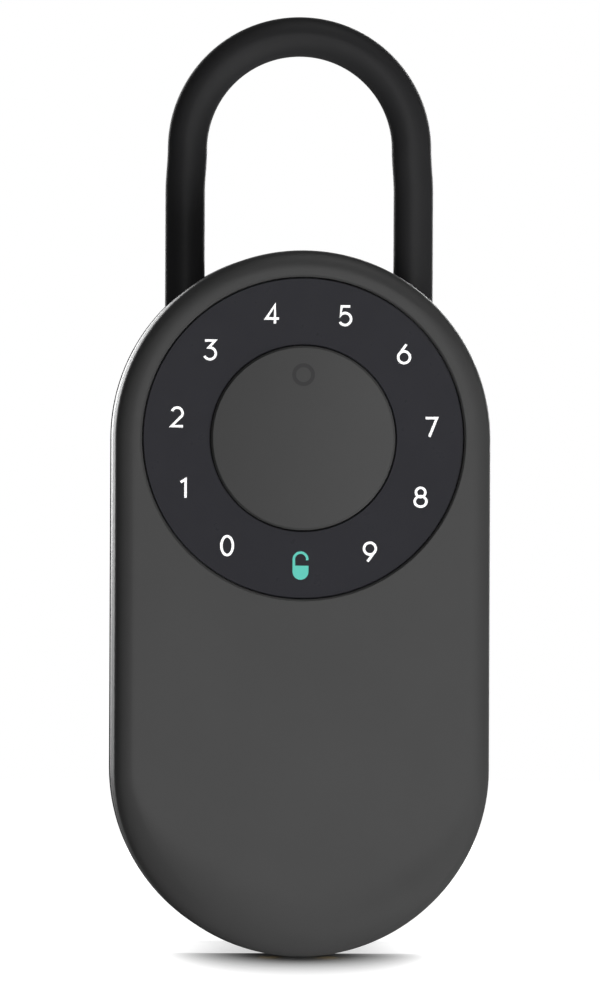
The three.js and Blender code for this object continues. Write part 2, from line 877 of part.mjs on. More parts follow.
// Lid liner: the plate that closes the lid's back
function lidLiner() {
  const plate = slab(stadium(linerRadius), [linerFront, linerBack]);
  const through = [linerFront - overrun, linerBack + overrun];
  const slotHalfHeight = strikeHalfHeight + strikeSlotClearance;
  const slotHalfWidth = strikeThickness / 2 + strikeSlotClearance;
  const halfWidth = hingeRecessHalfWidth + clearance;
  return cut(plate, [
    box(span(0, slotHalfWidth), through, span(boltZ, slotHalfHeight)),
    box(span(0, trayHalfWidth), through, [trayBottom, trayTop]),
    box(span(0, halfWidth), through, [foot, hingeZ + hingeRecessRadius]),
    ...linerScrewPlaces.map((place) => barY(screwBore, through, place, smallSides)),
  ]);
}

function lidSeal() {
  const outer = cavityRadius - sealInset;
  const lowerCentre = foot + hingeBlockHeight + sealInset + outer;
  const back = linerBack + clearance + sealThickness;
  const depth = [linerBack + clearance, back];
  const ring = slab(stadium(outer, dialCentre, lowerCentre), depth);
  const through = [linerBack, back + overrun];
  return ring.subtract(slab(stadium(outer - sealWidth, dialCentre, lowerCentre), through));
}

function jumpBores() {
  return [-jumpSpacing / 2, jumpSpacing / 2].map((x) => (
    barZ(jumpRadius + clearance, [foot - overrun, foot + hingeBlockHeight], [x, lidRim - jumpForward])
  ));
}

function jumpContact() {
  return turned([
    [0, 0],
    [jumpRadius, 0],
    [jumpRadius, jumpLength],
    [jumpRadius + jumpFlange, jumpLength],
    [jumpRadius + jumpFlange, jumpLength + jumpFlangeThickness],
    [0, jumpLength + jumpFlangeThickness],
  ]);
}

// Lock

// Rack teeth along the bolt's front, with a gap facing the pinion's upright tooth
function rackTeeth() {
  const root = boltFront + toothDepth;
  const tip = boltFront - toothRise;
  const tipHalf = (toothTipShare * toothPitch) / 2;
  const rootHalf = (toothRootShare * toothPitch) / 2;
  const teeth = [];
  for (let k = -rackTeethBehind; k < rackTeethAhead; k += 1) {
    const x = motorSideways + (k + 1 / 2) * toothPitch;
    const shape = new THREE.Shape();
    shape.moveTo(x - rootHalf, root + overrun);
    shape.lineTo(x - rootHalf, root);
    shape.lineTo(x - tipHalf, tip);
    shape.lineTo(x + tipHalf, tip);
    shape.lineTo(x + rootHalf, root);
    shape.lineTo(x + rootHalf, root + overrun);
    shape.closePath();
    const geometry = new THREE.ExtrudeGeometry(shape, { depth: boltHeight, bevelEnabled: false });
    geometry.translate(0, 0, boltZ - boltHeight / 2);
    teeth.push(solid(geometry));
  }
  return teeth;
}

function lockBolt() {
  const height = span(boltZ, boltHeight / 2);
  const bar = box([boltTip - boltLength, boltTip], [boltFront, boltBack], height);
  const rackEnd = motorSideways + rackTeethAhead * toothPitch;
  const trough = box(
    [boltTip - boltLength - overrun, rackEnd],
    [boltFront - overrun, boltFront + toothDepth],
    [height[0] - overrun, height[1] + overrun],
  );
  return join([bar.subtract(trough), ...rackTeeth()]);
}

// The pinion is turned about its own middle, with one tooth pointing along +Y
function pinion() {
  const root = pinionPitchRadius - toothDepth;
  const tip = pinionPitchRadius + toothRise;
  const step = (2 * Math.PI) / pinionTeeth;
  const shape = new THREE.Shape();
  const corners = [];
  for (let k = 0; k < pinionTeeth; k += 1) {
    const middle = Math.PI / 2 + k * step;
    const rootHalf = (toothRootShare * toothPitch) / (2 * root);
    const tipHalf = (toothTipShare * toothPitch) / (2 * tip);
    corners.push([root, middle - rootHalf], [tip, middle - tipHalf]);
    corners.push([tip, middle + tipHalf], [root, middle + rootHalf]);
  }
  shape.setFromPoints(corners.map(([radius, angle]) => (
    new THREE.Vector2(radius * Math.cos(angle), radius * Math.sin(angle))
  )));
  const bore = new THREE.Path();
  bore.absarc(0, 0, shaftBore, 0, 2 * Math.PI, true);
  shape.holes.push(bore);
  return solid(new THREE.ExtrudeGeometry(shape, {
    depth: pinionHeight,
    bevelEnabled: false,
    curveSegments: smallSides / 2,
  }));
}

// The gear motor, upright, with its top at the height 0 and its nose and shaft above
function gearMotor() {
  const halfWidth = motorWidth / 2;
  const halfThickness = motorThickness / 2;
  const gearbox = box(span(0, halfWidth), span(0, halfThickness), [-gearboxLength, 0]);
  const can = barZ(halfWidth, [-motorLength, -gearboxLength + overrun], [0, 0])
    .intersect(box(span(0, halfWidth), span(0, halfThickness), [-motorLength, 0]));
  const nose = barZ(2 * shaftRadius, [-overrun, motorNose], [0, 0], smallSides);
  const shaft = barZ(shaftRadius, [-overrun, motorNose + clearance + pinionHeight], [0, 0], smallSides);
  return join([gearbox, can, nose, shaft]);
}

// The guide: a plate on the liner with two rails, open where the strike plate enters
function boltGuide() {
  const plateBack = linerFront - clearance;
  const plateFront = plateBack - guidePlate;
  const railFront = boltFront + clearance;
  const plate = box([guideLeft, guideRight], [plateFront, plateBack], span(boltZ, guideHalfHeight));
  const inner = boltHeight / 2 + clearance;
  const rails = [-1, 1].flatMap((side) => {
    const near = boltZ + side * inner;
    const far = near + side * guideRail;
    const height = [Math.min(near, far), Math.max(near, far)];
    return [
      box([guideLeft, -guideGap], [railFront, plateBack], height),
      box([guideGap, guideRight], [railFront, plateBack], height),
    ];
  });
  const slotHalfHeight = strikeHalfHeight + strikeSlotClearance;
  const slot = box(span(0, guideGap), [railFront, linerFront], span(boltZ, slotHalfHeight));
  return join([plate, ...rails]).subtract(slot);
}

// Power

function batteryTray() {
  const outer = trayHalfWidth + trayWall;
  const rim = linerFront - clearance;
  const height = [trayBottom - trayWall, trayTop + trayWall];
  const shell = box(span(0, outer), [trayFloor - trayWall, rim], height);
  const inside = box(span(0, trayHalfWidth), [trayFloor, rim + overrun], [trayBottom, trayTop]);
  return shell.subtract(inside);
}

// One cell, upright about its own middle, with its raised end upward
function cell() {
  const half = (cellLength + cellNubLength) / 2;
  const shoulder = half - cellNubLength;
  return turned([
    [0, -half],
    [cellRadius, -half],
    [cellRadius, shoulder],
    [cellNubRadius, shoulder],
    [cellNubRadius, half],
    [0, half],
  ]);
}

// A contact strip lying flat over as many cells as it links
function contactStrip(cells) {
  const halfWidth = ((cells - 1) * cellPitch) / 2 + cellRadius - cellGap;
  return box(span(0, halfWidth), span(0, contactHeight / 2), [0, contactThickness]);
}

function batteryCover() {
  const halfWidth = trayHalfWidth - clearance;
  const height = [trayBottom + clearance, trayTop - clearance];
  const plate = box(span(0, halfWidth), [linerFront, linerBack], height);
  const thumbRange = [linerBack - thumbDepth, linerBack + overrun];
  return plate.subtract(barY(thumbRadius, thumbRange, [0, trayTop - thumbBelowTop]));
}

// Materials and the assembly

const coatedMetal = { color: '#4b4a4c', roughness: 0.42, metalness: 0.55 };
const castMetal = { color: '#3a3a3c', roughness: 0.5, metalness: 0.55 };
const touchGloss = { color: '#2f2e33', roughness: 0.3, metalness: 0 };
const blackRubber = { color: '#1d1d1e', roughness: 0.55, metalness: 0 };
const darkPlastic = { color: '#262628', roughness: 0.6, metalness: 0 };
const steel = { color: '#b8babd', roughness: 0.3, metalness: 1 };
const brass = { color: '#b89a55', roughness: 0.35, metalness: 1 };
const circuitBoard = { color: '#1f4a34', roughness: 0.5, metalness: 0 };
const clearPlastic = { color: '#d9dde0', roughness: 0.3, metalness: 0 };
const cellWrap = { color: '#3b5a8c', roughness: 0.4, metalness: 0.2 };

// Adds a piece to a group: a named mesh with its own material, at its place
function add(group, name, piece, finish, place = [0, 0, 0]) {
  const found = piece.getMesh();
  const geometry = new THREE.BufferGeometry();
  geometry.setAttribute('position', new THREE.BufferAttribute(found.vertProperties, found.numProp));
  geometry.setIndex(new THREE.BufferAttribute(found.triVerts, 1));
  geometry.computeVertexNormals();
  const mesh = new THREE.Mesh(geometry, new THREE.MeshStandardMaterial(finish));
  mesh.name = name;
  mesh.position.set(...place);
  group.add(mesh);
  return mesh;
}

// A part drawn upright is laid over so that its top faces the back of the case
const topToBack = -Math.PI / 2;
const topToFront = Math.PI / 2;

function rearAssembly() {
  const rear = new THREE.Group();
  add(rear, 'rear_body', rearBody(), castMetal);
  add(rear, 'back_pad', backPad(), blackRubber);
  add(rear, 'key_mat', keyMat(), blackRubber);
  fixingPlaces.forEach(([x, z], i) => {
    const plug = add(rear, `wall_plug_${i + 1}`, wallPlug(), blackRubber, [x, -rearFloor - clearance, z]);
    plug.rotation.x = topToFront;
  });
  add(rear, 'bay_cover', bayCover(), darkPlastic);
  bayScrewPlaces.forEach(([x, z], i) => {
    const fastener = add(rear, `bay_screw_${i + 1}`, screw(), steel, [x, bayCoverFront, z]);
    fastener.rotation.x = topToFront;
  });
  add(rear, 'strike_plate', strikePlate(), steel);
  [-strikeScrewSideways, strikeScrewSideways].forEach((x, i) => {
    const fastener = add(rear, `strike_screw_${i + 1}`, screw(), steel, [x, strikeBaseFront, boltZ]);
    fastener.rotation.x = topToFront;
  });
  add(rear, 'detent_leaf', detentLeaf(), steel);
  add(rear, 'hinge_pin', hingePin(), steel);
  add(rear, 'socket_bush_left', socketBush(), darkPlastic, [-legX, shackleY, bushSeat + clearance]);
  add(rear, 'socket_bush_right', socketBush(), darkPlastic, [legX, shackleY, bushSeat + clearance]);
  return rear;
}

function latchAssembly() {
  const latch = new THREE.Group();
  add(latch, 'latch_plate', latchPlate(), steel);
  add(latch, 'release_knob', releaseKnob(), darkPlastic);
  return latch;
}

function shackleAssembly() {
  const shackle = new THREE.Group();
  add(shackle, 'shackle_core', shackleCore(), steel);
  add(shackle, 'shackle_sleeve', shackleSleeve(), blackRubber);
  return shackle;
}

function dialAssembly() {
  const dial = new THREE.Group();
  add(dial, 'keypad_ring', keypadRing(), touchGloss);
  const cap = add(dial, 'centre_cap', centreCap(), coatedMetal, [0, face, dialCentre]);
  cap.rotation.x = topToFront;
  const pipePlace = [0, touchFront - clearance, dialCentre + statusAboveDial];
  const pipe = add(dial, 'status_light_pipe', lightPipe(), clearPlastic, pipePlace);
  pipe.rotation.x = topToFront;
  add(dial, 'touch_board', touchBoard(), circuitBoard);
  add(dial, 'board_connector', boardConnector(), darkPlastic);
  return dial;
}

function lockAssembly() {
  const lock = new THREE.Group();
  add(lock, 'lock_bolt', lockBolt(), steel);
  add(lock, 'lock_pinion', pinion(), brass, [motorSideways, pinionY, pinionBottom]);
  add(lock, 'gear_motor', gearMotor(), steel, [motorSideways, pinionY, motorTop]);
  add(lock, 'bolt_guide', boltGuide(), darkPlastic);
  return lock;
}

function powerAssembly() {
  const power = new THREE.Group();
  add(power, 'battery_tray', batteryTray(), darkPlastic);
  for (let i = 0; i < cellCount; i += 1) {
    const x = (i - (cellCount - 1) / 2) * cellPitch;
    const battery = add(power, `battery_cell_${i + 1}`, cell(), cellWrap, [x, cellY, cellMiddle]);
    battery.rotation.x = i % 2 === 0 ? 0 : Math.PI;
  }
  const high = cellTop + clearance;
  const low = cellTop - cellLength - cellNubLength - clearance - contactThickness;
  add(power, 'contact_upper_left', contactStrip(2), steel, [-cellPitch, cellY, high]);
  add(power, 'contact_upper_right', contactStrip(2), steel, [cellPitch, cellY, high]);
  add(power, 'contact_lower_link', contactStrip(2), steel, [0, cellY, low]);
  const outerCell = (cellPitch * (cellCount - 1)) / 2;
  add(power, 'contact_lower_left', contactStrip(1), steel, [-outerCell, cellY, low]);
  add(power, 'contact_lower_right', contactStrip(1), steel, [outerCell, cellY, low]);
  add(power, 'battery_cover', batteryCover(), darkPlastic);
  return power;
}

function lidAssembly() {
  const lid = new THREE.Group();
  add(lid, 'front_cover', frontCover(), coatedMetal);
  add(lid, 'lid_liner', lidLiner(), darkPlastic);
  linerScrewPlaces.forEach(([x, z], i) => {
    const fastener = add(lid, `liner_screw_${i + 1}`, screw(), steel, [x, linerBack, z]);
    fastener.rotation.x = topToBack;
  });
  add(lid, 'lid_seal', lidSeal(), blackRubber);
  add(lid, 'main_board', mainBoard(), circuitBoard);
  add(lid, 'radio_module', radioModule(), steel);
  add(lid, 'buzzer', buzzer(), darkPlastic);
  [-jumpSpacing / 2, jumpSpacing / 2].forEach((x, i) => {
    add(lid, `jump_contact_${i + 1}`, jumpContact(), brass, [x, lidRim - jumpForward, foot + jumpRecess]);
  });
  lid.add(dialAssembly(), lockAssembly(), powerAssembly());
  return lid;
}

const keySafe = new THREE.Group();
keySafe.add(rearAssembly(), latchAssembly(), shackleAssembly(), lidAssembly());

export default keySafe;
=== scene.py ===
# Smart key safe: the looks of a slim wall-mounted case with a touch ring and a sleeved shackle.
# Shapes are worked out in millimetres and stored in metres. The front faces -Y, and +Z is up.
# Ranges are (low, high) pairs. Places on the case are (across, up) pairs.
import json
import math

import bmesh
import bpy
from mathutils import Matrix, Vector


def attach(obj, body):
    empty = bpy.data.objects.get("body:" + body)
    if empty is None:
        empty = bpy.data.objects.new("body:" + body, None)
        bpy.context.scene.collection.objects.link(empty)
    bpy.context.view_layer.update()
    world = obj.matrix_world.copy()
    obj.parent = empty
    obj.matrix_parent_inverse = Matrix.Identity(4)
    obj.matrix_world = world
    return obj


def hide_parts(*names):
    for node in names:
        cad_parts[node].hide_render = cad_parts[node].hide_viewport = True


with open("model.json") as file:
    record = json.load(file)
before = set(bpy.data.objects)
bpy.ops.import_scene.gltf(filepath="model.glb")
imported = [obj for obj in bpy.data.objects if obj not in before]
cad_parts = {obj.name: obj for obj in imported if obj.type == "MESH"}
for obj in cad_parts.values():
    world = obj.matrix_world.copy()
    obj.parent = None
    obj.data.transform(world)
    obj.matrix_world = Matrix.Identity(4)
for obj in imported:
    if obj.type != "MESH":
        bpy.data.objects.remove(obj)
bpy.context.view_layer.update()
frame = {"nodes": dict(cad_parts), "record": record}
nodes = frame["nodes"]

MM = 0.001
CLEARANCE = 0.3
OVERRUN = 1.0
SAME_PLACE = 0.00001
SHARP_ANGLE = math.radians(35)
EDGE_SEGMENTS = 2
CAD_EDGE = 0.12

# Case outline
END_RADIUS = 40.0
DIAL_Z = 35.25
FOOT_Z = -35.25
FOOT = FOOT_Z - END_RADIUS
ARC_STEPS = 72

# Front cover
FACE = -50.0
LID_RIM = -28.4
LID_WALL = 2.2
EDGE_RUN = 5.0
EDGE_DROP = 4.0
EDGE_EASE = 0.77
FOOT_RUN = 16.5
FOOT_DROP = 9.5
FALLOFF_STEPS = 18
BOSS_RADIUS = 3.4
CONNECTOR_SLOT = ((-6.3, 6.3), (12.7, 17.3))

# Liner, seal and fasteners
LINER_FRONT = -31.4
LINER_BACK = -29.4
LINER_RADIUS = 37.4
LINER_PANEL_INSET = 4.5
LINER_PANEL_DEPTH = 0.3
LINER_PANEL_MARGIN = 3.0
LINER_PANEL_TOP = 48.0
LINER_SCREW_PLACES = [(x, z) for x in (-30.5, 30.5) for z in (38.0, -38.0)]
SEAL_BACK = -27.6
SEAL_FRONT = -29.1
SEAL_INSET = 0.5
SEAL_WIDTH = 1.6
SCREW_LENGTH = 6.0
SCREW_BORE = 1.3
SCREW_HEAD = 1.2
SCREW_DRIVE_RADIUS = 0.9
SCREW_DRIVE_DEPTH = 0.7

# Rear body
REAR_RIM = -28.0
REAR_FLOOR = -4.2
REAR_BACK = -0.4
REAR_EDGE_ROUND = 2.5
REAR_EDGE_STEPS = 8
# Where the band on the rear body's back edge begins: a matt finish whose darker colour is painted shade
REAR_BAND = -13.0
CAVITY_RADIUS = 37.0
BULKHEAD = (32.0, 34.0)
SOCKET_RADIUS = 7.0
TOWER_BOTTOM = 45.3
LATCH_RIB_X = 14.0
LATCH_RIB_HALF = 1.5
LATCH_RIB_RANGES = ((-21.0, 0.0), (32.0, 42.2))
LEAF_POST = ((-3.0, 3.0), (-7.8, 0.0), (32.0, 45.0))

# Wall pad, key mat and plugs
PAD_RADIUS = 34.0
PAD_FRONT = -1.2
PAD_HOLE_RADIUS = 4.2
PAD_GROOVES = (3.0, 6.0, 9.0)
PAD_GROOVE_WIDTH = 1.0
PAD_GROOVE_DEPTH = 0.4
MAT_THICKNESS = 1.5
FIXING_PLACES = [(x, z) for z in (20.0, -45.0) for x in (-20.0, 20.0)]
FIXING_RADIUS = 2.6
PLUG_HEAD_RADIUS = 4.5
PLUG_SEAT = -4.5

# Bay cover and release knob
BAY_COVER = (-26.0, -24.0)
BAY_BOSS_RADIUS = 3.0
BAY_SCREW_PLACES = [(0.0, 67.3), (-31.0, 37.4), (31.0, 37.4)]
BAY_PANEL_INSET = 4.0
BAY_PANEL_DEPTH = 0.3
BAY_PANEL_MARGIN = 2.0
BAY_PANEL_BOSS = 4.4
KNOB_SLOT = ((-2.3, 4.5), (42.2, 45.3))
KNOB_STEM = ((-2.0, 2.0), (-26.3, -21.3), (42.5, 45.0))
KNOB_HEAD = ((-5.0, 5.0), (-27.3, -26.3), (40.75, 46.75))
KNOB_RIBS = [((x - 0.45, x + 0.45), (-27.7, -27.0), (41.3, 46.2)) for x in (-4, -2, 0, 2, 4)]

# Strike plate
STRIKE_HALF = 12.0
STRIKE_RISE = (54.0, 64.0)
STRIKE_TIP = -38.0
STRIKE_HALF_THICK = 1.5
STRIKE_BASE = (-21.0, -18.5)
STRIKE_WINDOW = (-36.5, -32.3)
STRIKE_WINDOW_RISE = (56.0, 62.0)
STRIKE_CORNERS = (2.0, 1.8, 0.7)
STRIKE_SLOT_HALF = 2.7
STRIKE_SLOT_RISE = (52.8, 65.2)
STRIKE_SCREW_PLACES = [(-8.5, 59.0), (8.5, 59.0)]

# Battery tray, its cover, cells and contact strips
TRAY_OPENING_HALF = 22.35
TRAY_OPENING_RISE = (-52.6, -5.9)
TRAY_BOX = ((-23.35, 23.35), (-53.6, -4.9))
TRAY_INSIDE = ((-22.15, 22.15), (-52.4, -6.1))
TRAY_CORNERS = (2.0, 0.8)
TRAY_DEPTHS = (-43.8, -42.6, -31.7)
TRAY_RIB_HALF = 0.2
TRAY_RIB_RANGES = ((-43.0, -40.0), (-50.0, -8.5))
COVER_PLATE = ((-22.05, 22.05), (LINER_FRONT, LINER_BACK), (-52.3, -6.2))
COVER_PANEL = ((-18.5, 18.5), (-29.65, -28.4), (-49.1, -21.4))
DISH = (5.0, -30.2, -28.4)
DISH_Z = -12.9
DISH_RIB_RANGES = ((-3.2, 3.2), (-30.4, -29.7))
DISH_RIB_HALF = 0.35
DISH_RIB_PLACES = (-2.4, -0.8, 0.8, 2.4)
CELL_Y = -37.25
CELL_Z = -29.25
CELL_PITCH = 11.2
CELL_HALF = 22.25
CELL_SHOULDER = 21.25
CELL_BARE_FROM = 21.3
CONTACT_HALF_DEPTH = 4.0
CONTACT_REACH = 4.55
CONTACT_THICKNESS = 0.5
CONTACT_CORNER = 1.5
CONTACT_TOP = -6.7
CONTACT_FOOT = -52.3
TONGUE_SLITS = [(-2.6, -2.1, -2.4, 2.4), (2.1, 2.6, -2.4, 2.4), (-2.6, 2.6, 2.1, 2.6)]
DIMPLE_RADIUS = 0.6

# Each contact strip: how many cells it serves, and its middle across and up
CONTACTS = {
    "upper_left": (2, -CELL_PITCH, CONTACT_TOP),
    "upper_right": (2, CELL_PITCH, CONTACT_TOP),
    "lower_link": (2, 0.0, CONTACT_FOOT),
    "lower_left": (1, -1.5 * CELL_PITCH, CONTACT_FOOT),
    "lower_right": (1, 1.5 * CELL_PITCH, CONTACT_FOOT),
}

# Main board
BOARD_BACK = -43.0
BOARD_PLATE = ((-25.0, 25.0), (-44.2, BOARD_BACK), (0.0, 29.0))
BOARD_HOLE_RADIUS = 1.1
BOARD_HOLE_PLACES = [(x, z) for x in (-22.5, 22.5) for z in (2.5, 26.5)]
BOARD_NOTCH_RADIUS = 1.0
BOARD_NOTCH_PLACES = [(-25.2, 14.5), (25.2, 14.5)]
BUZZER_PLACE = (-15.0, BOARD_BACK + CLEARANCE, 10.0)
CHIP_LIFT = 0.1
CHIP_FEET = 8
CHIP_FOOT_HALF = 0.22
CHIP_FOOT_HEIGHT = 0.25
CHIP_FOOT_REACH = (0.2, 0.8)
SOLDER_REACH = (0.1, 0.35)
SOLDER_SHARE = 0.7

# The parts on the main board: middle across and up, half width, half height, and how far they stand up.
# First the two chips, then the crystal, then the small parts.
BOARD_PARTS = [
    (-1.5, 20.0, 4.5, 4.0, 1.4),
    (-18.0, 22.5, 3.0, 2.5, 1.2),
    (-9.5, 25.0, 2.0, 1.2, 1.0),
    (-22.0, 14.0, 1.0, 0.6, 0.7),
    (-6.5, 10.5, 1.0, 0.6, 0.7),
    (-3.0, 10.5, 1.0, 0.6, 0.7),
    (0.5, 10.5, 1.0, 0.6, 0.7),
    (3.5, 13.5, 0.6, 0.4, 0.6),
    (3.5, 15.5, 0.6, 0.4, 0.6),
    (20.0, 5.0, 1.6, 1.0, 1.0),
    (15.5, 5.0, 1.0, 0.6, 0.7),
    (12.0, 5.0, 1.0, 0.6, 0.7),
]
CHIP_COUNT = 2
SMALL_PARTS_FROM = 3

# Gear motor: its place seen from above in X and Y, its outline there, and its boxes and bars by height
MOTOR_PLACE = (-14.0, -39.1, 0.0)
MOTOR_OUTLINE = [
    (-5.9, -3.0), (-4.2, -4.9), (4.2, -4.9), (5.9, -3.0), (5.9, 3.0), (4.2, 4.9), (-4.2, 4.9), (-5.9, 3.0),
]
MOTOR_RISE = (31.4, 45.4)
MOTOR_CAP_SCALE = (0.72, 0.8)
MOTOR_CAP_RISE = (30.7, 31.8)
GEARBOX = [
    ((-6.0, 6.0), (-5.0, 5.0), (45.2, 47.2)),
    ((-6.0, 6.0), (-5.0, 5.0), (53.5, 54.7)),
    ((-5.6, 5.6), (-4.6, 4.6), (46.8, 54.0)),
]
MOTOR_BOSS = (2.2, 54.5, 55.4)
SHAFT = (1.2, 55.0, 61.4)
SHAFT_FLAT = ((0.8, 2.0), (-2.0, 2.0), (56.0, 62.0))

# Hinge
HINGE_Y = -28.2
HINGE_Z = -71.05
HINGE_BLOCK_HALF = 22.0
HINGE_BLOCK_TOP = -65.0
HINGE_BARREL_RADIUS = 4.0
HINGE_RECESS_RADIUS = 4.6
HINGE_RECESS_HALF = 18.2
HINGE_HALF = 17.6
HINGE_EAR_X = 10.0
HINGE_EAR_HALF = 2.3
HINGE_EAR_GAP = 0.4
HINGE_BORE_RADIUS = 1.5
HINGE_BORE_HALF = 13.3

# Dial
DIAL_RADIUS = 34.35
DIAL_WALL = 2.15
DIAL_CHAMFER = 0.4
DIAL_FLOOR = -45.9
DIAL_BACK = -44.5
RING_OUTER = 34.05
RING_INNER = 19.9
RING_FRONT = -49.3
RING_EDGE = 0.12
RING_BACK = -47.5
CAP_RADIUS = 19.6
CAP_CHAMFER = 0.4
CAP_BACK = -47.5
STATUS_Z = DIAL_Z + 13.5
STATUS_INNER = 1.58
STATUS_OUTER = 2.42
STATUS_DEPTH = 0.3

# Shackle
SHACKLE_Y = -15.0
LEG_X = 24.45
BEND_RADIUS = 24.0
BEND_Z = 97.25
LEG_EASE = 9.25
SLEEVE_RADIUS = 4.25
SLEEVE_BOTTOM = 58.9
CORE_RADIUS = 3.25
CORE_BOTTOM = 38.85
NOTCH_FLOOR = 2.0
NOTCH_DEPTHS = (-22.0, -8.0)
NOTCH_RISE = (42.0, 45.5)
BUSH_SEAT = 50.3
BUSH_BOTTOM = 50.6
BUSH_BORE = CORE_RADIUS + CLEARANCE

# Jump-start contacts, to the left and the right of the middle
JUMP_X = 6.35
JUMP_Y = -36.4
JUMP_Z = -74.35
JUMP_BORE = 2.7

# Turned shapes, as points of (radius, height)
SCREW_TIP = SCREW_HEAD - SCREW_LENGTH
SCREW_TOP = CLEARANCE + SCREW_HEAD
SCREW_PROFILE = [
    (0, SCREW_TIP), (0.75, SCREW_TIP), (1.0, SCREW_TIP + 0.4), (1.0, CLEARANCE), (2.0, CLEARANCE),
    (2.0, SCREW_TOP - 0.45), (1.85, SCREW_TOP - 0.15), (1.55, SCREW_TOP), (0, SCREW_TOP),
]
PLUG_PROFILE = [
    (0, -2.0), (2.0, -2.0), (2.3, -1.6), (2.3, 0.0), (PLUG_HEAD_RADIUS, 0.0), (PLUG_HEAD_RADIUS, 0.7),
    (PLUG_HEAD_RADIUS - 0.5, 1.2), (1.6, 1.2), (1.2, 0.9), (0, 0.9),
]
BUSH_PROFILE = [
    (BUSH_BORE, 0), (SLEEVE_RADIUS, 0), (SLEEVE_RADIUS, 8), (BUSH_BORE + 0.3, 8), (BUSH_BORE, 7.7),
    (BUSH_BORE, 0),
]
JUMP_PROFILE = [(0, 0), (1.6, 0), (2.1, 0.15), (2.4, 0.6), (2.4, 3.2), (3.2, 3.2), (3.2, 4.2), (0, 4.2)]
CELL_PROFILE = [
    (0, -CELL_HALF), (4.2, -CELL_HALF), (4.6, -CELL_HALF + 0.15), (4.95, -CELL_HALF + 0.3),
    (5.25, -CELL_HALF + 0.7), (5.25, CELL_SHOULDER - 0.7), (4.95, CELL_SHOULDER - 0.25),
    (4.5, CELL_SHOULDER), (4.1, CELL_SHOULDER - 0.25), (1.95, CELL_SHOULDER - 0.25),
    (1.9, CELL_HALF - 0.3), (1.6, CELL_HALF), (0, CELL_HALF),
]
BUZZER_PROFILE = [
    (0, 0), (6.0, 0), (6.0, 3.3), (5.6, 3.6), (5.6, 4.2), (5.2, 4.5), (1.6, 4.5), (1.2, 4.1), (1.2, 3.0),
    (0, 3.0),
]
PIN_PROFILE = [(0, -13), (0.9, -13), (1.2, -12.6), (1.2, 12.6), (0.9, 13), (0, 13)]

RING_PROFILE = [
    (RING_INNER, -RING_BACK), (RING_OUTER, -RING_BACK), (RING_OUTER, -RING_FRONT - RING_EDGE),
    (RING_OUTER - RING_EDGE, -RING_FRONT), (RING_INNER + RING_EDGE, -RING_FRONT),
    (RING_INNER, -RING_FRONT - RING_EDGE), (RING_INNER, -RING_BACK),
]
CAP_PROFILE = [
    (0, -CAP_BACK), (CAP_RADIUS, -CAP_BACK), (CAP_RADIUS, -FACE - CAP_CHAMFER),
    (CAP_RADIUS - CAP_CHAMFER, -FACE), (0, -FACE),
]
DIAL_RIM_PROFILE = [
    (0, -FACE - DIAL_CHAMFER), (DIAL_RADIUS, -FACE - DIAL_CHAMFER),
    (DIAL_RADIUS + DIAL_CHAMFER + OVERRUN, -FACE + OVERRUN), (0, -FACE + OVERRUN),
]

# Turns that make a piece's height run to the front, to the back, across or down, and a quarter turn
FACING_FRONT = Matrix.Rotation(math.pi / 2, 4, "X")
FACING_BACK = Matrix.Rotation(-math.pi / 2, 4, "X")
LYING_ACROSS = Matrix.Rotation(math.pi / 2, 4, "Y")
UPSIDE_DOWN = Matrix.Rotation(math.pi, 4, "X")
QUARTER_TURN = Matrix.Rotation(math.pi / 2, 4, "Z")


# Meshes

def raw_mesh(points, faces):
    mesh = bpy.data.meshes.new("shape")
    mesh.from_pydata([tuple(p) for p in points], [], faces)
    mesh.update()
    return mesh


def new_object(name, data):
    made = bpy.data.objects.new(name, data)
    bpy.context.scene.collection.objects.link(made)
    return made


def repaired(mesh, merge_distance=0.0):
    """Turns every face of a closed mesh to look outward, after joining points that coincide."""
    work = bmesh.new()
    work.from_mesh(mesh)
    if merge_distance:
        bmesh.ops.remove_doubles(work, verts=work.verts, dist=merge_distance)
    bmesh.ops.recalc_face_normals(work, faces=work.faces)
    work.to_mesh(mesh)
    work.free()
    return mesh


def skinned(rings, closed=False):
    """Joins rings of equal length, listed in order. The last meets the first, or both ends are filled."""
    count = len(rings[0])
    total = len(rings)
    points = [p for ring in rings for p in ring]
    faces = []
    for r in range(total if closed else total - 1):
        here = r * count
        there = (r + 1) % total * count
        for i in range(count):
            j = (i + 1) % count
            faces.append((here + i, here + j, there + j, there + i))
    if not closed:
        last = (total - 1) * count
        faces.append(tuple(range(count)))
        faces.append(tuple(range(last, last + count)))
    return repaired(raw_mesh(points, faces))


def span(middle, half):
    return middle - half, middle + half


def past(low, high):
    """A range that goes on beyond another at both ends."""
    return low - OVERRUN, high + OVERRUN


def between(low, high, share):
    return low + (high - low) * share


def eased(share):
    """A share held from 0 to 1, with a soft start and a soft end."""
    held = min(max(share, 0.0), 1.0)
    return held * held * (3 - 2 * held)


def circle(radius, sides, start=0.0):
    step = 2 * math.pi / sides
    angles = [start + step * i for i in range(sides)]
    return [(radius * math.cos(angle), radius * math.sin(angle)) for angle in angles]


def slab(points, y0, y1):
    """A flat piece with an outline in X and Z, between two depths."""
    return skinned([[(x, y, z) for x, z in points] for y in (y0, y1)])


def bar_y(radius, y0, y1, place, sides=48):
    x0, z0 = place
    return slab([(x0 + x, z0 + z) for x, z in circle(radius, sides)], y0, y1)


def bars(radius, y_range, places, sides=48):
    return [bar_y(radius, *y_range, place, sides) for place in places]


def bar_x(radius, x0, x1, place, sides=48):
    y0, z0 = place
    ring = circle(radius, sides)
    return skinned([[(x, y0 + y, z0 + z) for y, z in ring] for x in (x0, x1)])


def bar_z(radius, z0, z1, place, sides=48):
    x0, y0 = place
    ring = circle(radius, sides)
    return skinned([[(x0 + x, y0 + y, z) for x, y in ring] for z in (z0, z1)])


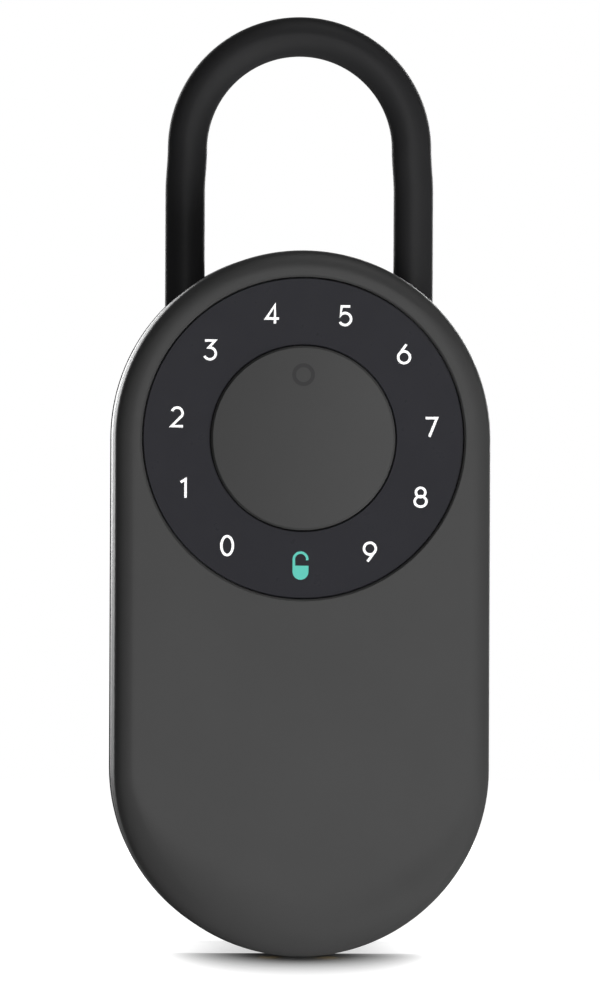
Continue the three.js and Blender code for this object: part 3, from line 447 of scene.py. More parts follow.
def block(x_range, y_range, z_range):
    (x0, x1), (y0, y1), (z0, z1) = x_range, y_range, z_range
    return slab([(x0, z0), (x1, z0), (x1, z1), (x0, z1)], y0, y1)


def turned(profile, sides=48):
    """A mesh turned about the upright axis from (radius, height) points, closed where the radius is 0."""
    points = []
    faces = []
    rows = []
    for radius, height in profile:
        if radius == 0:
            rows.append([len(points)])
            points.append((0, 0, height))
        else:
            rows.append(list(range(len(points), len(points) + sides)))
            points.extend((x, y, height) for x, y in circle(radius, sides))
    for low, high in zip(rows, rows[1:]):
        for i in range(sides):
            j = (i + 1) % sides
            corners = [low[i % len(low)], low[j % len(low)], high[j % len(high)], high[i % len(high)]]
            unique = list(dict.fromkeys(corners))
            if len(unique) > 2:
                faces.append(tuple(unique))
    return repaired(raw_mesh(points, faces), SAME_PLACE if profile[0] == profile[-1] else 0.0)


def combined(mesh, tools, operation):
    """Joins tools to a mesh, or cuts them from it."""
    base = new_object("base", mesh)
    helpers = [new_object("tool", tool) for tool in tools]
    for helper in helpers:
        step = base.modifiers.new("step", "BOOLEAN")
        step.solver = "MANIFOLD"
        step.operation = operation
        step.object = helper
    graph = bpy.context.evaluated_depsgraph_get()
    result = bpy.data.meshes.new_from_object(base.evaluated_get(graph))
    for extra in [base, *helpers]:
        bpy.data.objects.remove(extra)
    return result


def joined(mesh, tools):
    return combined(mesh, tools, "UNION")


def cut(mesh, tools):
    return combined(mesh, tools, "DIFFERENCE")


def common(mesh, other):
    return combined(mesh, [other], "INTERSECT")


def placed(mesh, place, turn=Matrix.Identity(4)):
    """Turns a mesh and then moves it to a place."""
    mesh.transform(Matrix.Translation(place) @ turn)
    return mesh


def soften(piece, width):
    """Breaks the sharp edges of a piece by a small round, without moving its faces."""
    bevel = piece.modifiers.new("edges", "BEVEL")
    bevel.width = width * MM
    bevel.segments = EDGE_SEGMENTS
    bevel.limit_method = "ANGLE"
    bevel.angle_limit = SHARP_ANGLE


def flatten(piece):
    """Shading that keeps large flat faces flat."""
    weighted = piece.modifiers.new("normals", "WEIGHTED_NORMAL")
    weighted.keep_sharp = True


def piece_of(name, mesh, body, slot, replaced=(), edge=0.0, finish=None):
    """A finished piece: in metres, smooth, with its body, the finish of its slot or another named finish,
    and soft edges.
    """
    mesh.transform(Matrix.Scale(MM, 4))
    mesh.shade_smooth()
    mesh.set_sharp_from_angle(angle=SHARP_ANGLE)
    mesh.materials.clear()
    mesh.materials.append(finishes[finish or slot])
    piece = new_object(name, mesh)
    if edge:
        soften(piece, edge)
    flatten(piece)
    if replaced:
        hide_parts(*replaced)
    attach(piece, body)
    return piece


# Outlines

def directions(upper=DIAL_Z, lower=FOOT_Z):
    """The directions in which a stadium's outline faces, with the arc centre of each."""
    listed = []
    for centre, start in ((upper, 0.0), (lower, math.pi)):
        for i in range(ARC_STEPS + 1):
            angle = start + math.pi * i / ARC_STEPS
            listed.append((centre, math.cos(angle), math.sin(angle)))
    return listed


def stadium(radius, upper=DIAL_Z, lower=FOOT_Z):
    return [(radius * x, centre + radius * z) for centre, x, z in directions(upper, lower)]


def case_ring(place_of):
    """A ring round the case, whose inset and depth depend on how far it faces upward."""
    ring = []
    for centre, x, z in directions():
        inset, y = place_of(z)
        radius = END_RADIUS - inset
        ring.append((x * radius, y, centre + z * radius))
    return ring


def falloff(upward, share, grow):
    """Inset and depth of the lid's front surface, from its side (share 0) to its face (share 1)."""
    foot_share = eased(-upward)
    run = between(EDGE_RUN, FOOT_RUN, foot_share)
    drop = between(EDGE_DROP, FOOT_DROP, foot_share)
    angle = share * math.pi / 2
    inset = grow + run * (1 - max(math.cos(angle), 0.0) ** EDGE_EASE)
    return inset, FACE + grow + drop * (1 - math.sin(angle))


def lid_form(grow, back_y):
    rings = [case_ring(lambda upward: (grow, back_y))]
    for i in range(FALLOFF_STEPS + 1):
        share = i / FALLOFF_STEPS
        rings.append(case_ring(lambda upward: falloff(upward, share, grow)))
    return skinned(rings)


def rear_form():
    rings = []
    for i in range(REAR_EDGE_STEPS + 1):
        angle = i / REAR_EDGE_STEPS * math.pi / 2
        inset = REAR_EDGE_ROUND * (1 - math.sin(angle))
        y = REAR_BACK - REAR_EDGE_ROUND * (1 - math.cos(angle))
        rings.append(case_ring(lambda upward: (inset, y)))
    for y in (REAR_BAND, REAR_RIM):
        rings.append(case_ring(lambda upward: (0.0, y)))
    return skinned(rings)


def arc(centre, radii, start, end, steps=28):
    """Points of an ellipse's arc between two angles in degrees."""
    points = []
    for i in range(steps + 1):
        angle = math.radians(between(start, end, i / steps))
        points.append((centre[0] + radii[0] * math.cos(angle), centre[1] + radii[1] * math.sin(angle)))
    return points


def rounded_panel(x_range, z_range, radius):
    """The outline of a panel with rounded corners."""
    (x0, x1), (z0, z1) = x_range, z_range
    corners = [
        (x1 - radius, z1 - radius, 0),
        (x0 + radius, z1 - radius, 90),
        (x0 + radius, z0 + radius, 180),
        (x1 - radius, z0 + radius, 270),
    ]
    return [p for x, z, start in corners for p in arc((x, z), (radius, radius), start, start + 90, steps=6)]


def within_case():
    """The whole height and width of the case, from its face to the wall."""
    return slab(stadium(END_RADIUS), FACE, 0.0)


def full_width(z_range):
    return block((-END_RADIUS, END_RADIUS), (FACE, 0.0), z_range)


# Front cover and dial

def cover_mesh():
    cavity = lid_form(LID_WALL, LID_RIM + OVERRUN)
    boss_end = LINER_FRONT - CLEARANCE
    inner = [bar_y(DIAL_RADIUS + DIAL_WALL, FACE, DIAL_BACK, (0, DIAL_Z), sides=160)]
    inner += bars(BOSS_RADIUS, (FACE, boss_end), LINER_SCREW_PLACES, sides=32)
    inside = [common(mesh, lid_form(0.0, LID_RIM)) for mesh in inner]
    barrel = bar_x(HINGE_BARREL_RADIUS, -HINGE_HALF, HINGE_HALF, (HINGE_Y, HINGE_Z))
    inside.append(common(barrel, within_case()))
    shell = joined(cut(lid_form(0.0, LID_RIM), [cavity]), inside)
    bore = (boss_end - SCREW_LENGTH, boss_end + OVERRUN)
    boss_bores = bars(SCREW_BORE, bore, LINER_SCREW_PLACES, sides=20)
    return cut(shell, [*dial_cuts(), *boss_bores, *cover_foot_cuts()])


def dial_cuts():
    """The dial's recess with its chamfered rim, and the slot for the touch board's connector."""
    across, up = CONNECTOR_SLOT
    return [
        bar_y(DIAL_RADIUS, FACE - OVERRUN, DIAL_FLOOR, (0, DIAL_Z), sides=192),
        on_dial(DIAL_RIM_PROFILE, sides=256),
        block(across, past(DIAL_FLOOR, DIAL_BACK), up),
    ]


def cover_foot_cuts():
    """The bores for the hinge pin and the jump-start contacts, and the room for the rear body's eyes."""
    hinge = (HINGE_Y, HINGE_Z)
    cuts = [bar_x(HINGE_BORE_RADIUS, -HINGE_BORE_HALF, HINGE_BORE_HALF, hinge, sides=24)]
    for x in (-JUMP_X, JUMP_X):
        cuts.append(bar_z(JUMP_BORE, FOOT - OVERRUN, HINGE_BLOCK_TOP, (x, JUMP_Y), sides=32))
    for x in (-HINGE_EAR_X, HINGE_EAR_X):
        room = span(x, HINGE_EAR_HALF + HINGE_EAR_GAP)
        cuts.append(bar_x(HINGE_BARREL_RADIUS + CLEARANCE, *room, hinge))
    return cuts


def on_dial(profile, sides):
    """A shape turned about the dial's middle, with its height to the front."""
    return placed(turned(profile, sides), (0, 0, DIAL_Z), FACING_FRONT)


def cap_mesh():
    return cut(on_dial(CAP_PROFILE, sides=224), [status_ring(-OVERRUN)])


def status_ring(front):
    """A flat ring that faces the front, from a depth below the face to the bottom of the status groove."""
    rings = []
    radii = (STATUS_INNER, STATUS_OUTER, STATUS_OUTER, STATUS_INNER)
    for radius, depth in zip(radii, (front, front, STATUS_DEPTH, STATUS_DEPTH)):
        rings.append([(x, FACE + depth, STATUS_Z + z) for x, z in circle(radius, sides=96)])
    return skinned(rings, closed=True)


# Signs on the dial

DIGIT_STROKE = 0.54
SIGN_STROKE = 0.55
SIGN_X = -0.45
SIGN_ARCH_Z = -25.8
SIGN_BODY_TOP = -27.15
SIGN_BODY_FLAT = 1.3
SIGN_HALF = 1.7
SIGN_OPEN_END = -25.98
PRINT_PROUD = 0.02
PRINT_SUNK = 0.05
MITRE_LIMIT = 0.45

# The middle lines of each digit's strokes, in millimetres from the middle of the digit
DIGIT_STROKES = {
    0: [arc((0, 0), (1.22, 2.0), 0, 360, 48)],
    1: [[(-0.8, 1.3), (0.25, 1.95), (0.25, -2.0)]],
    2: [arc((0, 0.82), (1.15, 1.16), 160, -32) + [(-1.2, -1.97), (1.25, -2.0)]],
    3: [[(-1.05, 1.97), (1.1, 1.97), (-0.2, 0.5)] + arc((0, -0.77), (1.25, 1.25), 88, -155)],
    4: [[(0.42, -2.0), (0.42, 1.95), (-1.45, -0.93), (1.3, -0.93)]],
    5: [[(1.1, 1.97), (-0.72, 1.97), (-0.95, 0.05)] + arc((0, -0.72), (1.28, 1.28), 128, -150)],
    6: [arc((0, -0.75), (1.25, 1.25), 0, 360, 40), [(-1.1, -0.2), (0.5, 2.0)]],
    7: [[(-1.2, 1.97), (1.2, 1.97), (-0.4, -2.0)]],
    8: [arc((0, 1.0), (1.0, 0.98), 0, 360, 36), arc((0, -0.92), (1.26, 1.1), 0, 360, 40)],
    9: [arc((0, 0.75), (1.25, 1.25), 0, 360, 40), [(1.1, 0.2), (-0.5, -2.0)]],
}

# The middle of each digit, in millimetres across and up from the middle of the dial
DIGIT_PLACES = {
    0: (-16.1, -22.95), 1: (-25.25, -10.8), 2: (-26.85, 4.4), 3: (-19.95, 18.7), 4: (-6.55, 26.35),
    5: (8.8, 26.1), 6: (21.4, 18.05), 7: (27.25, 2.4), 8: (25.05, -12.45), 9: (14.3, -24.2),
}


def stroke_rings(line, width, depths, closed):
    """Rectangular sections along a flat line, mitred at its corners."""
    rings = []
    total = len(line)
    for i, (x, z) in enumerate(line):
        before = line[(i - 1) % total] if closed or i > 0 else (x, z)
        after = line[(i + 1) % total] if closed or i + 1 < total else (x, z)
        first = Vector((x - before[0], z - before[1]))
        second = Vector((after[0] - x, after[1] - z))
        first = first.normalized() if first.length else second.normalized()
        second = second.normalized() if second.length else first
        along = (first + second).normalized()
        reach = width / 2 / max(along.dot(first), MITRE_LIMIT)
        across = Vector((along.y, -along.x)) * reach
        left = (x - across.x, z - across.y)
        right = (x + across.x, z + across.y)
        corners = ((left, depths[0]), (right, depths[0]), (right, depths[1]), (left, depths[1]))
        rings.append([(side[0], depth, side[1]) for side, depth in corners])
    return rings


def stroke_mesh(line, width, place):
    """One stroke of a print on the touch ring, at a place on it."""
    depths = (RING_FRONT - PRINT_PROUD, RING_FRONT + PRINT_SUNK)
    closed = math.dist(line[0], line[-1]) < SAME_PLACE
    route = [(x + place[0], z + place[1]) for x, z in (line[:-1] if closed else line)]
    return skinned(stroke_rings(route, width, depths, closed), closed)


def digit_mesh(digit):
    across, up = DIGIT_PLACES[digit]
    place = (across, DIAL_Z + up)
    strokes = [stroke_mesh(line, DIGIT_STROKE, place) for line in DIGIT_STROKES[digit]]
    return joined(strokes[0], strokes[1:])


def padlock_mesh():
    """A plain open padlock: a cup-shaped body with an arch whose right end is free."""
    radius = SIGN_HALF - SIGN_STROKE / 2
    arch = [(radius, SIGN_OPEN_END)] + arc((0, SIGN_ARCH_Z), (radius, radius), 0, 180)
    arch.append((-radius, SIGN_BODY_TOP - SIGN_STROKE))
    hoop = stroke_mesh(arch, SIGN_STROKE, (SIGN_X, DIAL_Z))
    cup = [(SIGN_HALF, SIGN_BODY_TOP), (-SIGN_HALF, SIGN_BODY_TOP)]
    cup += arc((0, SIGN_BODY_TOP - SIGN_BODY_FLAT), (SIGN_HALF, SIGN_HALF), 180, 360)
    outline = [(x + SIGN_X, z + DIAL_Z) for x, z in cup]
    return joined(hoop, [slab(outline, RING_FRONT - PRINT_PROUD, RING_FRONT + PRINT_SUNK)])


# Shackle pieces

def shackle_line(bottom, steps):
    """Points on the shackle's middle line, from the foot of its left leg to the foot of its right leg."""
    leg = BEND_Z - bottom
    whole = 2 * leg + math.pi * BEND_RADIUS
    listed = []
    for i in range(steps + 1):
        along = whole * i / steps
        side = -1 if along < whole / 2 else 1
        from_end = along if side < 0 else whole - along
        if from_end < leg:
            z = bottom + from_end
            share = eased((z - (BEND_Z - LEG_EASE)) / LEG_EASE)
            listed.append((side * between(LEG_X, BEND_RADIUS, share), z))
        else:
            angle = (from_end - leg) / BEND_RADIUS
            listed.append((side * BEND_RADIUS * math.cos(angle), BEND_Z + BEND_RADIUS * math.sin(angle)))
    return listed


def swept(line, radius, sides):
    """Rings round a line in the plane of the shackle."""
    rings = []
    for i, (x, z) in enumerate(line):
        x0, z0 = line[max(i - 1, 0)]
        x1, z1 = line[min(i + 1, len(line) - 1)]
        length = math.hypot(x1 - x0, z1 - z0)
        across = ((z1 - z0) / length, -(x1 - x0) / length)
        section = circle(radius, sides)
        rings.append([(x + across[0] * a, SHACKLE_Y + b, z + across[1] * a) for a, b in section])
    return rings


def sleeve_mesh():
    line = shackle_line(SLEEVE_BOTTOM, steps=150)
    outer = swept(line, SLEEVE_RADIUS, sides=48)
    inner = swept(line, BUSH_BORE, sides=48)
    return skinned(outer + inner[::-1], closed=True)


def core_mesh():
    bar = skinned(swept(shackle_line(CORE_BOTTOM, steps=130), CORE_RADIUS, sides=32))
    notches = []
    for x in (-LEG_X, LEG_X):
        left = x - CORE_RADIUS
        notches.append(block((left - OVERRUN, left + NOTCH_FLOOR), NOTCH_DEPTHS, NOTCH_RISE))
    return cut(bar, notches)


# Rear body

def rear_mesh():
    cavity = slab(stadium(CAVITY_RADIUS), REAR_RIM - OVERRUN, REAR_FLOOR)
    inside = [common(mesh, rear_form()) for mesh in (*sockets(), *bay_blocks())]
    shell = joined(cut(rear_form(), [cavity]), inside)
    return cut(shell, [*socket_bores(), *screw_bores(), *wall_cuts(), *hinge_recess()])


def sockets():
    """The towers that the shackle's legs go into."""
    top = DIAL_Z + END_RADIUS
    solids = []
    for x in (-LEG_X, LEG_X):
        solids.append(bar_z(SOCKET_RADIUS, TOWER_BOTTOM, top, (x, SHACKLE_Y), sides=40))
        solids.append(block(span(x, SOCKET_RADIUS), (SHACKLE_Y, 0.0), (TOWER_BOTTOM, top)))
    return solids


def bay_blocks():
    """The bulkhead, the screw posts, the latch plate's ribs, the leaf's post and the hinge block."""
    bay_front = BAY_COVER[1] + CLEARANCE
    strike_front = STRIKE_BASE[1] + CLEARANCE
    solids = [block((-END_RADIUS, END_RADIUS), (bay_front, 0.0), BULKHEAD)]
    solids += bars(BAY_BOSS_RADIUS, (bay_front, 0.0), BAY_SCREW_PLACES, sides=32)
    solids += bars(BAY_BOSS_RADIUS, (strike_front, 0.0), STRIKE_SCREW_PLACES, sides=32)
    solids += [block(span(x, LATCH_RIB_HALF), *LATCH_RIB_RANGES) for x in (-LATCH_RIB_X, LATCH_RIB_X)]
    solids.append(block(*LEAF_POST))
    solids.append(block(span(0.0, HINGE_BLOCK_HALF), (REAR_RIM, 0.0), (FOOT, HINGE_BLOCK_TOP)))
    return solids


def socket_bores():
    cuts = []
    for x in (-LEG_X, LEG_X):
        leg = (x, SHACKLE_Y)
        cuts.append(bar_z(SLEEVE_RADIUS + CLEARANCE, BUSH_SEAT, BEND_Z, leg, sides=64))
        cuts.append(bar_z(BUSH_BORE, *past(TOWER_BOTTOM, BUSH_SEAT), leg))
    return cuts


def screw_bores():
    cuts = []
    for front, places in ((BAY_COVER[1], BAY_SCREW_PLACES), (STRIKE_BASE[1], STRIKE_SCREW_PLACES)):
        cuts += bars(SCREW_BORE, (front - OVERRUN, front + SCREW_LENGTH), places, sides=20)
    return cuts


def wall_cuts():
    """The recess for the wall pad and the bores of the wall fixings."""
    recess = slab(stadium(PAD_RADIUS + CLEARANCE), PAD_FRONT - CLEARANCE, OVERRUN)
    return [recess, *bars(FIXING_RADIUS, past(REAR_FLOOR, 0.0), FIXING_PLACES, sides=32)]


def hinge_recess():
    """The room for the lid's barrel."""
    across = span(0.0, HINGE_RECESS_HALF)
    depths = (REAR_RIM - OVERRUN, HINGE_Y + HINGE_RECESS_RADIUS)
    return [
        bar_x(HINGE_RECESS_RADIUS, *across, (HINGE_Y, HINGE_Z)),
        block(across, depths, (FOOT - OVERRUN, HINGE_Z)),
    ]


def ear_meshes():
    """The two eyes of the rear body that the hinge pin passes through."""
    ears = []
    radius = HINGE_BARREL_RADIUS - CLEARANCE
    depths = (HINGE_Y, HINGE_Y + HINGE_RECESS_RADIUS + OVERRUN)
    for x in (-HINGE_EAR_X, HINGE_EAR_X):
        across = span(x, HINGE_EAR_HALF)
        eye = bar_x(radius, *across, (HINGE_Y, HINGE_Z))
        root = block(across, depths, (HINGE_Z, HINGE_Z + radius))
        ears.append(common(joined(eye, [root]), within_case()))
    return ears


# Plates, pads and fasteners

def pad_mesh():
    """The wall pad: flat rubber with three shallow grooves that follow its outline."""
    pad = slab(stadium(PAD_RADIUS), PAD_FRONT, 0.0)
    cuts = bars(PAD_HOLE_RADIUS, past(PAD_FRONT, 0.0), FIXING_PLACES)
    for inset in PAD_GROOVES:
        radius = PAD_RADIUS - inset
        outer = slab(stadium(radius), -PAD_GROOVE_DEPTH, OVERRUN)
        inner = slab(stadium(radius - PAD_GROOVE_WIDTH), -PAD_GROOVE_DEPTH - OVERRUN, 2 * OVERRUN)
        cuts.append(cut(outer, [inner]))
    return cut(pad, cuts)


def mat_mesh():
    """The key mat on the compartment's floor, open round the plugs."""
    back = REAR_FLOOR - CLEARANCE
    outline = slab(stadium(CAVITY_RADIUS - 2 * CLEARANCE), back - MAT_THICKNESS, back)
    window = full_width((HINGE_BLOCK_TOP + 2 * CLEARANCE, BULKHEAD[0] - CLEARANCE))
    holes = bars(PLUG_HEAD_RADIUS + CLEARANCE, (FACE, 0.0), FIXING_PLACES)
    return cut(common(outline, window), holes)


def bay_cover_mesh():
    """The mechanism bay's cover, with a shallow panel sunk between its screws."""
    outline = slab(stadium(CAVITY_RADIUS - CLEARANCE), *BAY_COVER)
    through = past(*BAY_COVER)
    across, up = KNOB_SLOT
    cuts = [block(span(0.0, STRIKE_SLOT_HALF), through, STRIKE_SLOT_RISE), block(across, through, up)]
    cuts += bars(SCREW_BORE, through, BAY_SCREW_PLACES, sides=24)
    panel = slab(stadium(CAVITY_RADIUS - BAY_PANEL_INSET), through[0], BAY_COVER[0] + BAY_PANEL_DEPTH)
    window = full_width((BULKHEAD[1] + BAY_PANEL_MARGIN, 2 * END_RADIUS))
    bosses = bars(BAY_PANEL_BOSS, (FACE, 0.0), BAY_SCREW_PLACES, sides=32)
    cuts.append(cut(common(panel, window), bosses))
    return cut(common(outline, full_width((BULKHEAD[0], 2 * END_RADIUS))), cuts)


def liner_mesh():
    plate = slab(stadium(LINER_RADIUS), LINER_FRONT, LINER_BACK)
    through = past(LINER_FRONT, LINER_BACK)
    hinge_room = span(0.0, HINGE_RECESS_HALF + CLEARANCE)
    cuts = [
        block(span(0.0, STRIKE_SLOT_HALF), through, STRIKE_SLOT_RISE),
        block(span(0.0, TRAY_OPENING_HALF), through, TRAY_OPENING_RISE),
        block(hinge_room, through, (FOOT, HINGE_Z + HINGE_RECESS_RADIUS)),
    ]
    cuts += bars(SCREW_BORE, through, LINER_SCREW_PLACES, sides=24)
    return cut(plate, [*cuts, liner_panel()])


def liner_panel():
    """A shallow step in the liner's upper part, over the keys."""
    radius = LINER_RADIUS - LINER_PANEL_INSET
    panel = slab(stadium(radius), LINER_BACK - LINER_PANEL_DEPTH, LINER_BACK + OVERRUN)
    return common(panel, full_width((TRAY_OPENING_RISE[1] + LINER_PANEL_MARGIN, LINER_PANEL_TOP)))


def seal_mesh():
    outer = CAVITY_RADIUS - SEAL_INSET
    lower = HINGE_BLOCK_TOP + SEAL_INSET + outer
    half = (SEAL_BACK - SEAL_FRONT) / 2
    middle = (SEAL_BACK + SEAL_FRONT) / 2
    rings = []
    for across, along in circle(1.0, sides=12, start=math.pi / 12):
        radius = outer - SEAL_WIDTH / 2 + across * SEAL_WIDTH / 2
        rings.append([(x, middle + along * half, z) for x, z in stadium(radius, DIAL_Z, lower)])
    return skinned(rings, closed=True)


def screw_mesh():
    """A pan head screw, upright, with its seat at height 0 and a six-sided drive."""
    drive = bar_z(SCREW_DRIVE_RADIUS, SCREW_TOP - SCREW_DRIVE_DEPTH, SCREW_TOP + OVERRUN, (0, 0), sides=6)
    return cut(turned(SCREW_PROFILE, sides=32), [drive])


def strike_mesh():
    """The strike plate: a screwed base and a tongue whose window takes the bolt."""
    base_corner, tongue_corner, window_corner = STRIKE_CORNERS
    base = slab(rounded_panel(span(0.0, STRIKE_HALF), STRIKE_RISE, base_corner), *STRIKE_BASE)
    outline = rounded_panel((STRIKE_TIP, STRIKE_BASE[1]), STRIKE_RISE, tongue_corner)
    tongue = placed(slab(outline, *span(0.0, STRIKE_HALF_THICK)), (0, 0, 0), QUARTER_TURN)
    opening = rounded_panel(STRIKE_WINDOW, STRIKE_WINDOW_RISE, window_corner)
    window = placed(slab(opening, *span(0.0, STRIKE_HALF_THICK + OVERRUN)), (0, 0, 0), QUARTER_TURN)
    holes = bars(SCREW_BORE, past(*STRIKE_BASE), STRIKE_SCREW_PLACES, sides=24)
    return cut(joined(base, [tongue]), [window, *holes])


def knob_mesh():
    """The release knob: a stem through the bay cover and a head with five grip ribs."""
    knob = joined(block(*KNOB_STEM), [block(*KNOB_HEAD)])
    return joined(knob, [block(*rib) for rib in KNOB_RIBS])


# Power

def tray_mesh():
    """The battery tray: a round-cornered box with a low rib between each pair of cells."""
    back, floor, rim = TRAY_DEPTHS
    outer_corner, inner_corner = TRAY_CORNERS
    shell = slab(rounded_panel(*TRAY_BOX, outer_corner), back, rim)
    hollow = slab(rounded_panel(*TRAY_INSIDE, inner_corner), floor, rim + OVERRUN)
    ribs = [block(span(x, TRAY_RIB_HALF), *TRAY_RIB_RANGES) for x in (-CELL_PITCH, 0.0, CELL_PITCH)]
    return joined(cut(shell, [hollow]), ribs)


def contact_mesh(cells):
    """A contact strip, lying flat: a thin plate with a sprung tongue and a dimple for each cell."""
    half = (cells - 1) * CELL_PITCH / 2 + CONTACT_REACH
    outline = rounded_panel(span(0.0, half), span(0.0, CONTACT_HALF_DEPTH), CONTACT_CORNER)
    plate = slab(outline, 0.0, CONTACT_THICKNESS)
    through = past(0.0, CONTACT_THICKNESS)
    cuts = []
    for number in range(cells):
        x = (number - (cells - 1) / 2) * CELL_PITCH
        for slit in TONGUE_SLITS:
            cuts.append(block((x + slit[0], x + slit[1]), through, slit[2:]))
        cuts.append(bar_y(DIMPLE_RADIUS, *through, (x, 0.0), sides=20))
    return cut(plate, cuts)


def cell_mesh(number):
    """A cell in its place, a wrapped can with a raised contact, every second one upside down."""
    turn = UPSIDE_DOWN if number % 2 == 0 else Matrix.Identity(4)
    return placed(turned(CELL_PROFILE, sides=64), (CELL_PITCH * (number - 2.5), CELL_Y, CELL_Z), turn)


def battery_cover_mesh():
    """The battery cover: a plate with a ribbed finger dish and a sunk panel."""
    cuts = [bar_y(*DISH, (0, DISH_Z), sides=64), block(*COVER_PANEL)]
    ribs = [block(*DISH_RIB_RANGES, span(DISH_Z + z, DISH_RIB_HALF)) for z in DISH_RIB_PLACES]
    return joined(cut(block(*COVER_PLATE), cuts), ribs)


# Electronics and drive

def board_mesh():
    """The main board: a plate with plated corner holes and notched edges."""
    through = past(*BOARD_PLATE[1])
    cuts = bars(BOARD_HOLE_RADIUS, through, BOARD_HOLE_PLACES, sides=24)
    cuts += bars(BOARD_NOTCH_RADIUS, through, BOARD_NOTCH_PLACES, sides=24)
    return cut(block(*BOARD_PLATE), cuts)


def chip_mesh():
    """The board's packages, each a little above the board."""
    parts = []
    for x, z, half_x, half_z, tall in BOARD_PARTS:
        depths = (BOARD_BACK + CHIP_LIFT, BOARD_BACK + tall)
        parts.append(block(span(x, half_x), depths, span(z, half_z)))
    return joined(parts[0], parts[1:])


def reach_range(edge, side, reach):
    """The range about a part's edge: so far inward, and so far outward, on one side of the part."""
    inward, outward = reach
    return sorted((edge - side * inward, edge + side * outward))


def solder_mesh():
    """Bright feet beside the two chips, and pads at the ends of the small parts."""
    feet = []
    foot_depths = (BOARD_BACK, BOARD_BACK + CHIP_FOOT_HEIGHT)
    for x, z, half_x, half_z, _ in BOARD_PARTS[:CHIP_COUNT]:
        for i in range(CHIP_FEET):
            across = span(x - half_x + half_x * (2 * i + 1) / CHIP_FEET, CHIP_FOOT_HALF)
            for side in (-1, 1):
                rise = reach_range(z + side * half_z, side, CHIP_FOOT_REACH)
                feet.append(block(across, foot_depths, rise))
    for x, z, half_x, half_z, tall in BOARD_PARTS[SMALL_PARTS_FROM:]:
        depths = (BOARD_BACK, BOARD_BACK + tall * SOLDER_SHARE)
        for side in (-1, 1):
            across = reach_range(x + side * half_x, side, SOLDER_REACH)
            feet.append(block(across, depths, span(z, half_z)))
    return joined(feet[0], feet[1:])


def motor_mesh():
    """The gear motor: a can with flattened sides, a gearbox with a seam, end caps and a D-shaped shaft."""
    cap_x, cap_y = MOTOR_CAP_SCALE
    can = skinned([[(x, y, z) for x, y in MOTOR_OUTLINE] for z in MOTOR_RISE])
    cap = skinned([[(x * cap_x, y * cap_y, z) for x, y in MOTOR_OUTLINE] for z in MOTOR_CAP_RISE])
    boss = bar_z(*MOTOR_BOSS, (0, 0), sides=32)
    shaft = cut(bar_z(*SHAFT, (0, 0), sides=32), [block(*SHAFT_FLAT)])
    return placed(joined(can, [cap, *[block(*box) for box in GEARBOX], boss, shaft]), MOTOR_PLACE)


# Materials

GRAIN_DETAIL = 4.0
GRAIN_ROUGHNESS = 0.6
TONE_SCALE = 45.0
TONE_DETAIL = 3.0
TONE_STOPS = (0.3, 0.7)
ROUGHNESS_SWING = 0.08
RELIEF_STRENGTH = 0.25
# How much of the cap's colour shows at its left and at its right side: painted light, lighter towards the
# right
CAP_PAINTED_LIGHT = (0.72, 1.12)
GLOW_WHITE = 0.45
GLOW_TEAL = 0.3


def set_inputs(tree, node, inputs):
    """Gives a node's inputs their values, or links them to the outputs of other nodes."""
    for name, value in inputs.items():
        if isinstance(value, bpy.types.NodeSocket):
            tree.links.new(value, node.inputs[name])
        else:
            node.inputs[name].default_value = value


def add_node(tree, kind, inputs):
    node = tree.nodes.new(kind)
    set_inputs(tree, node, inputs)
    return node


def maths(tree, operation, first, second):
    node = add_node(tree, "ShaderNodeMath", {0: first, 1: second})
    node.operation = operation
    return node.outputs[0]


def level(tree, source, low, high):
    """Maps a source value from 0 to 1 onto a range."""
    inputs = {"Value": source, "To Min": low, "To Max": high}
    return add_node(tree, "ShaderNodeMapRange", inputs).outputs["Result"]


def soft_step(tree, source, start, end):
    """0 up to the start value, 1 from the end value on, with a smooth passage between them."""
    node = add_node(tree, "ShaderNodeMapRange", {"Value": source, "From Min": start, "From Max": end})
    node.interpolation_type = "SMOOTHSTEP"
    return node.outputs["Result"]


def blended(tree, share, first, second):
    """The first value where the share is 0, the second where it is 1."""
    return add_node(tree, "ShaderNodeMix", {"Factor": share, "A": first, "B": second}).outputs["Result"]


def axes(tree):
    """The X, Y and Z of each point: from 0 to 1 within a piece, or as a direction in the surround."""
    place = add_node(tree, "ShaderNodeTexCoord", {})
    return add_node(tree, "ShaderNodeSeparateXYZ", {"Vector": place.outputs["Generated"]}).outputs


def noise(tree, scale, detail):
    place = add_node(tree, "ShaderNodeTexCoord", {}).outputs["Object"]
    inputs = {"Vector": place, "Scale": scale, "Detail": detail, "Roughness": GRAIN_ROUGHNESS}
    return add_node(tree, "ShaderNodeTexNoise", inputs).outputs["Fac"]


def ramp(tree, source, stops):
    """Colours along a source value, from two stops of (place, colour)."""
    node = add_node(tree, "ShaderNodeValToRGB", {"Fac": source})
    for element, (place, colour) in zip(node.color_ramp.elements, stops):
        element.position = place
        element.color = (*colour, 1)
    return node.outputs["Color"]


def linear(value):
    """The linear share of light for a screen value from 0 to 255."""
    share = value / 255
    return share / 12.92 if share <= 0.04045 else ((share + 0.055) / 1.055) ** 2.4


def screen(red, green, blue):
    return linear(red), linear(green), linear(blue)


def scaled(colour, factor):
    return tuple(min(channel * factor, 1.0) for channel in colour)


def node_material(name, colour, roughness, metallic, specular):
    material = bpy.data.materials.new(name)
    material.use_nodes = True
    tree = material.node_tree
    shader = tree.nodes["Principled BSDF"]
    values = {"Roughness": roughness, "Metallic": metallic, "Specular IOR Level": specular}
    set_inputs(tree, shader, {"Base Color": (*colour, 1), **values})
    return material, tree, shader


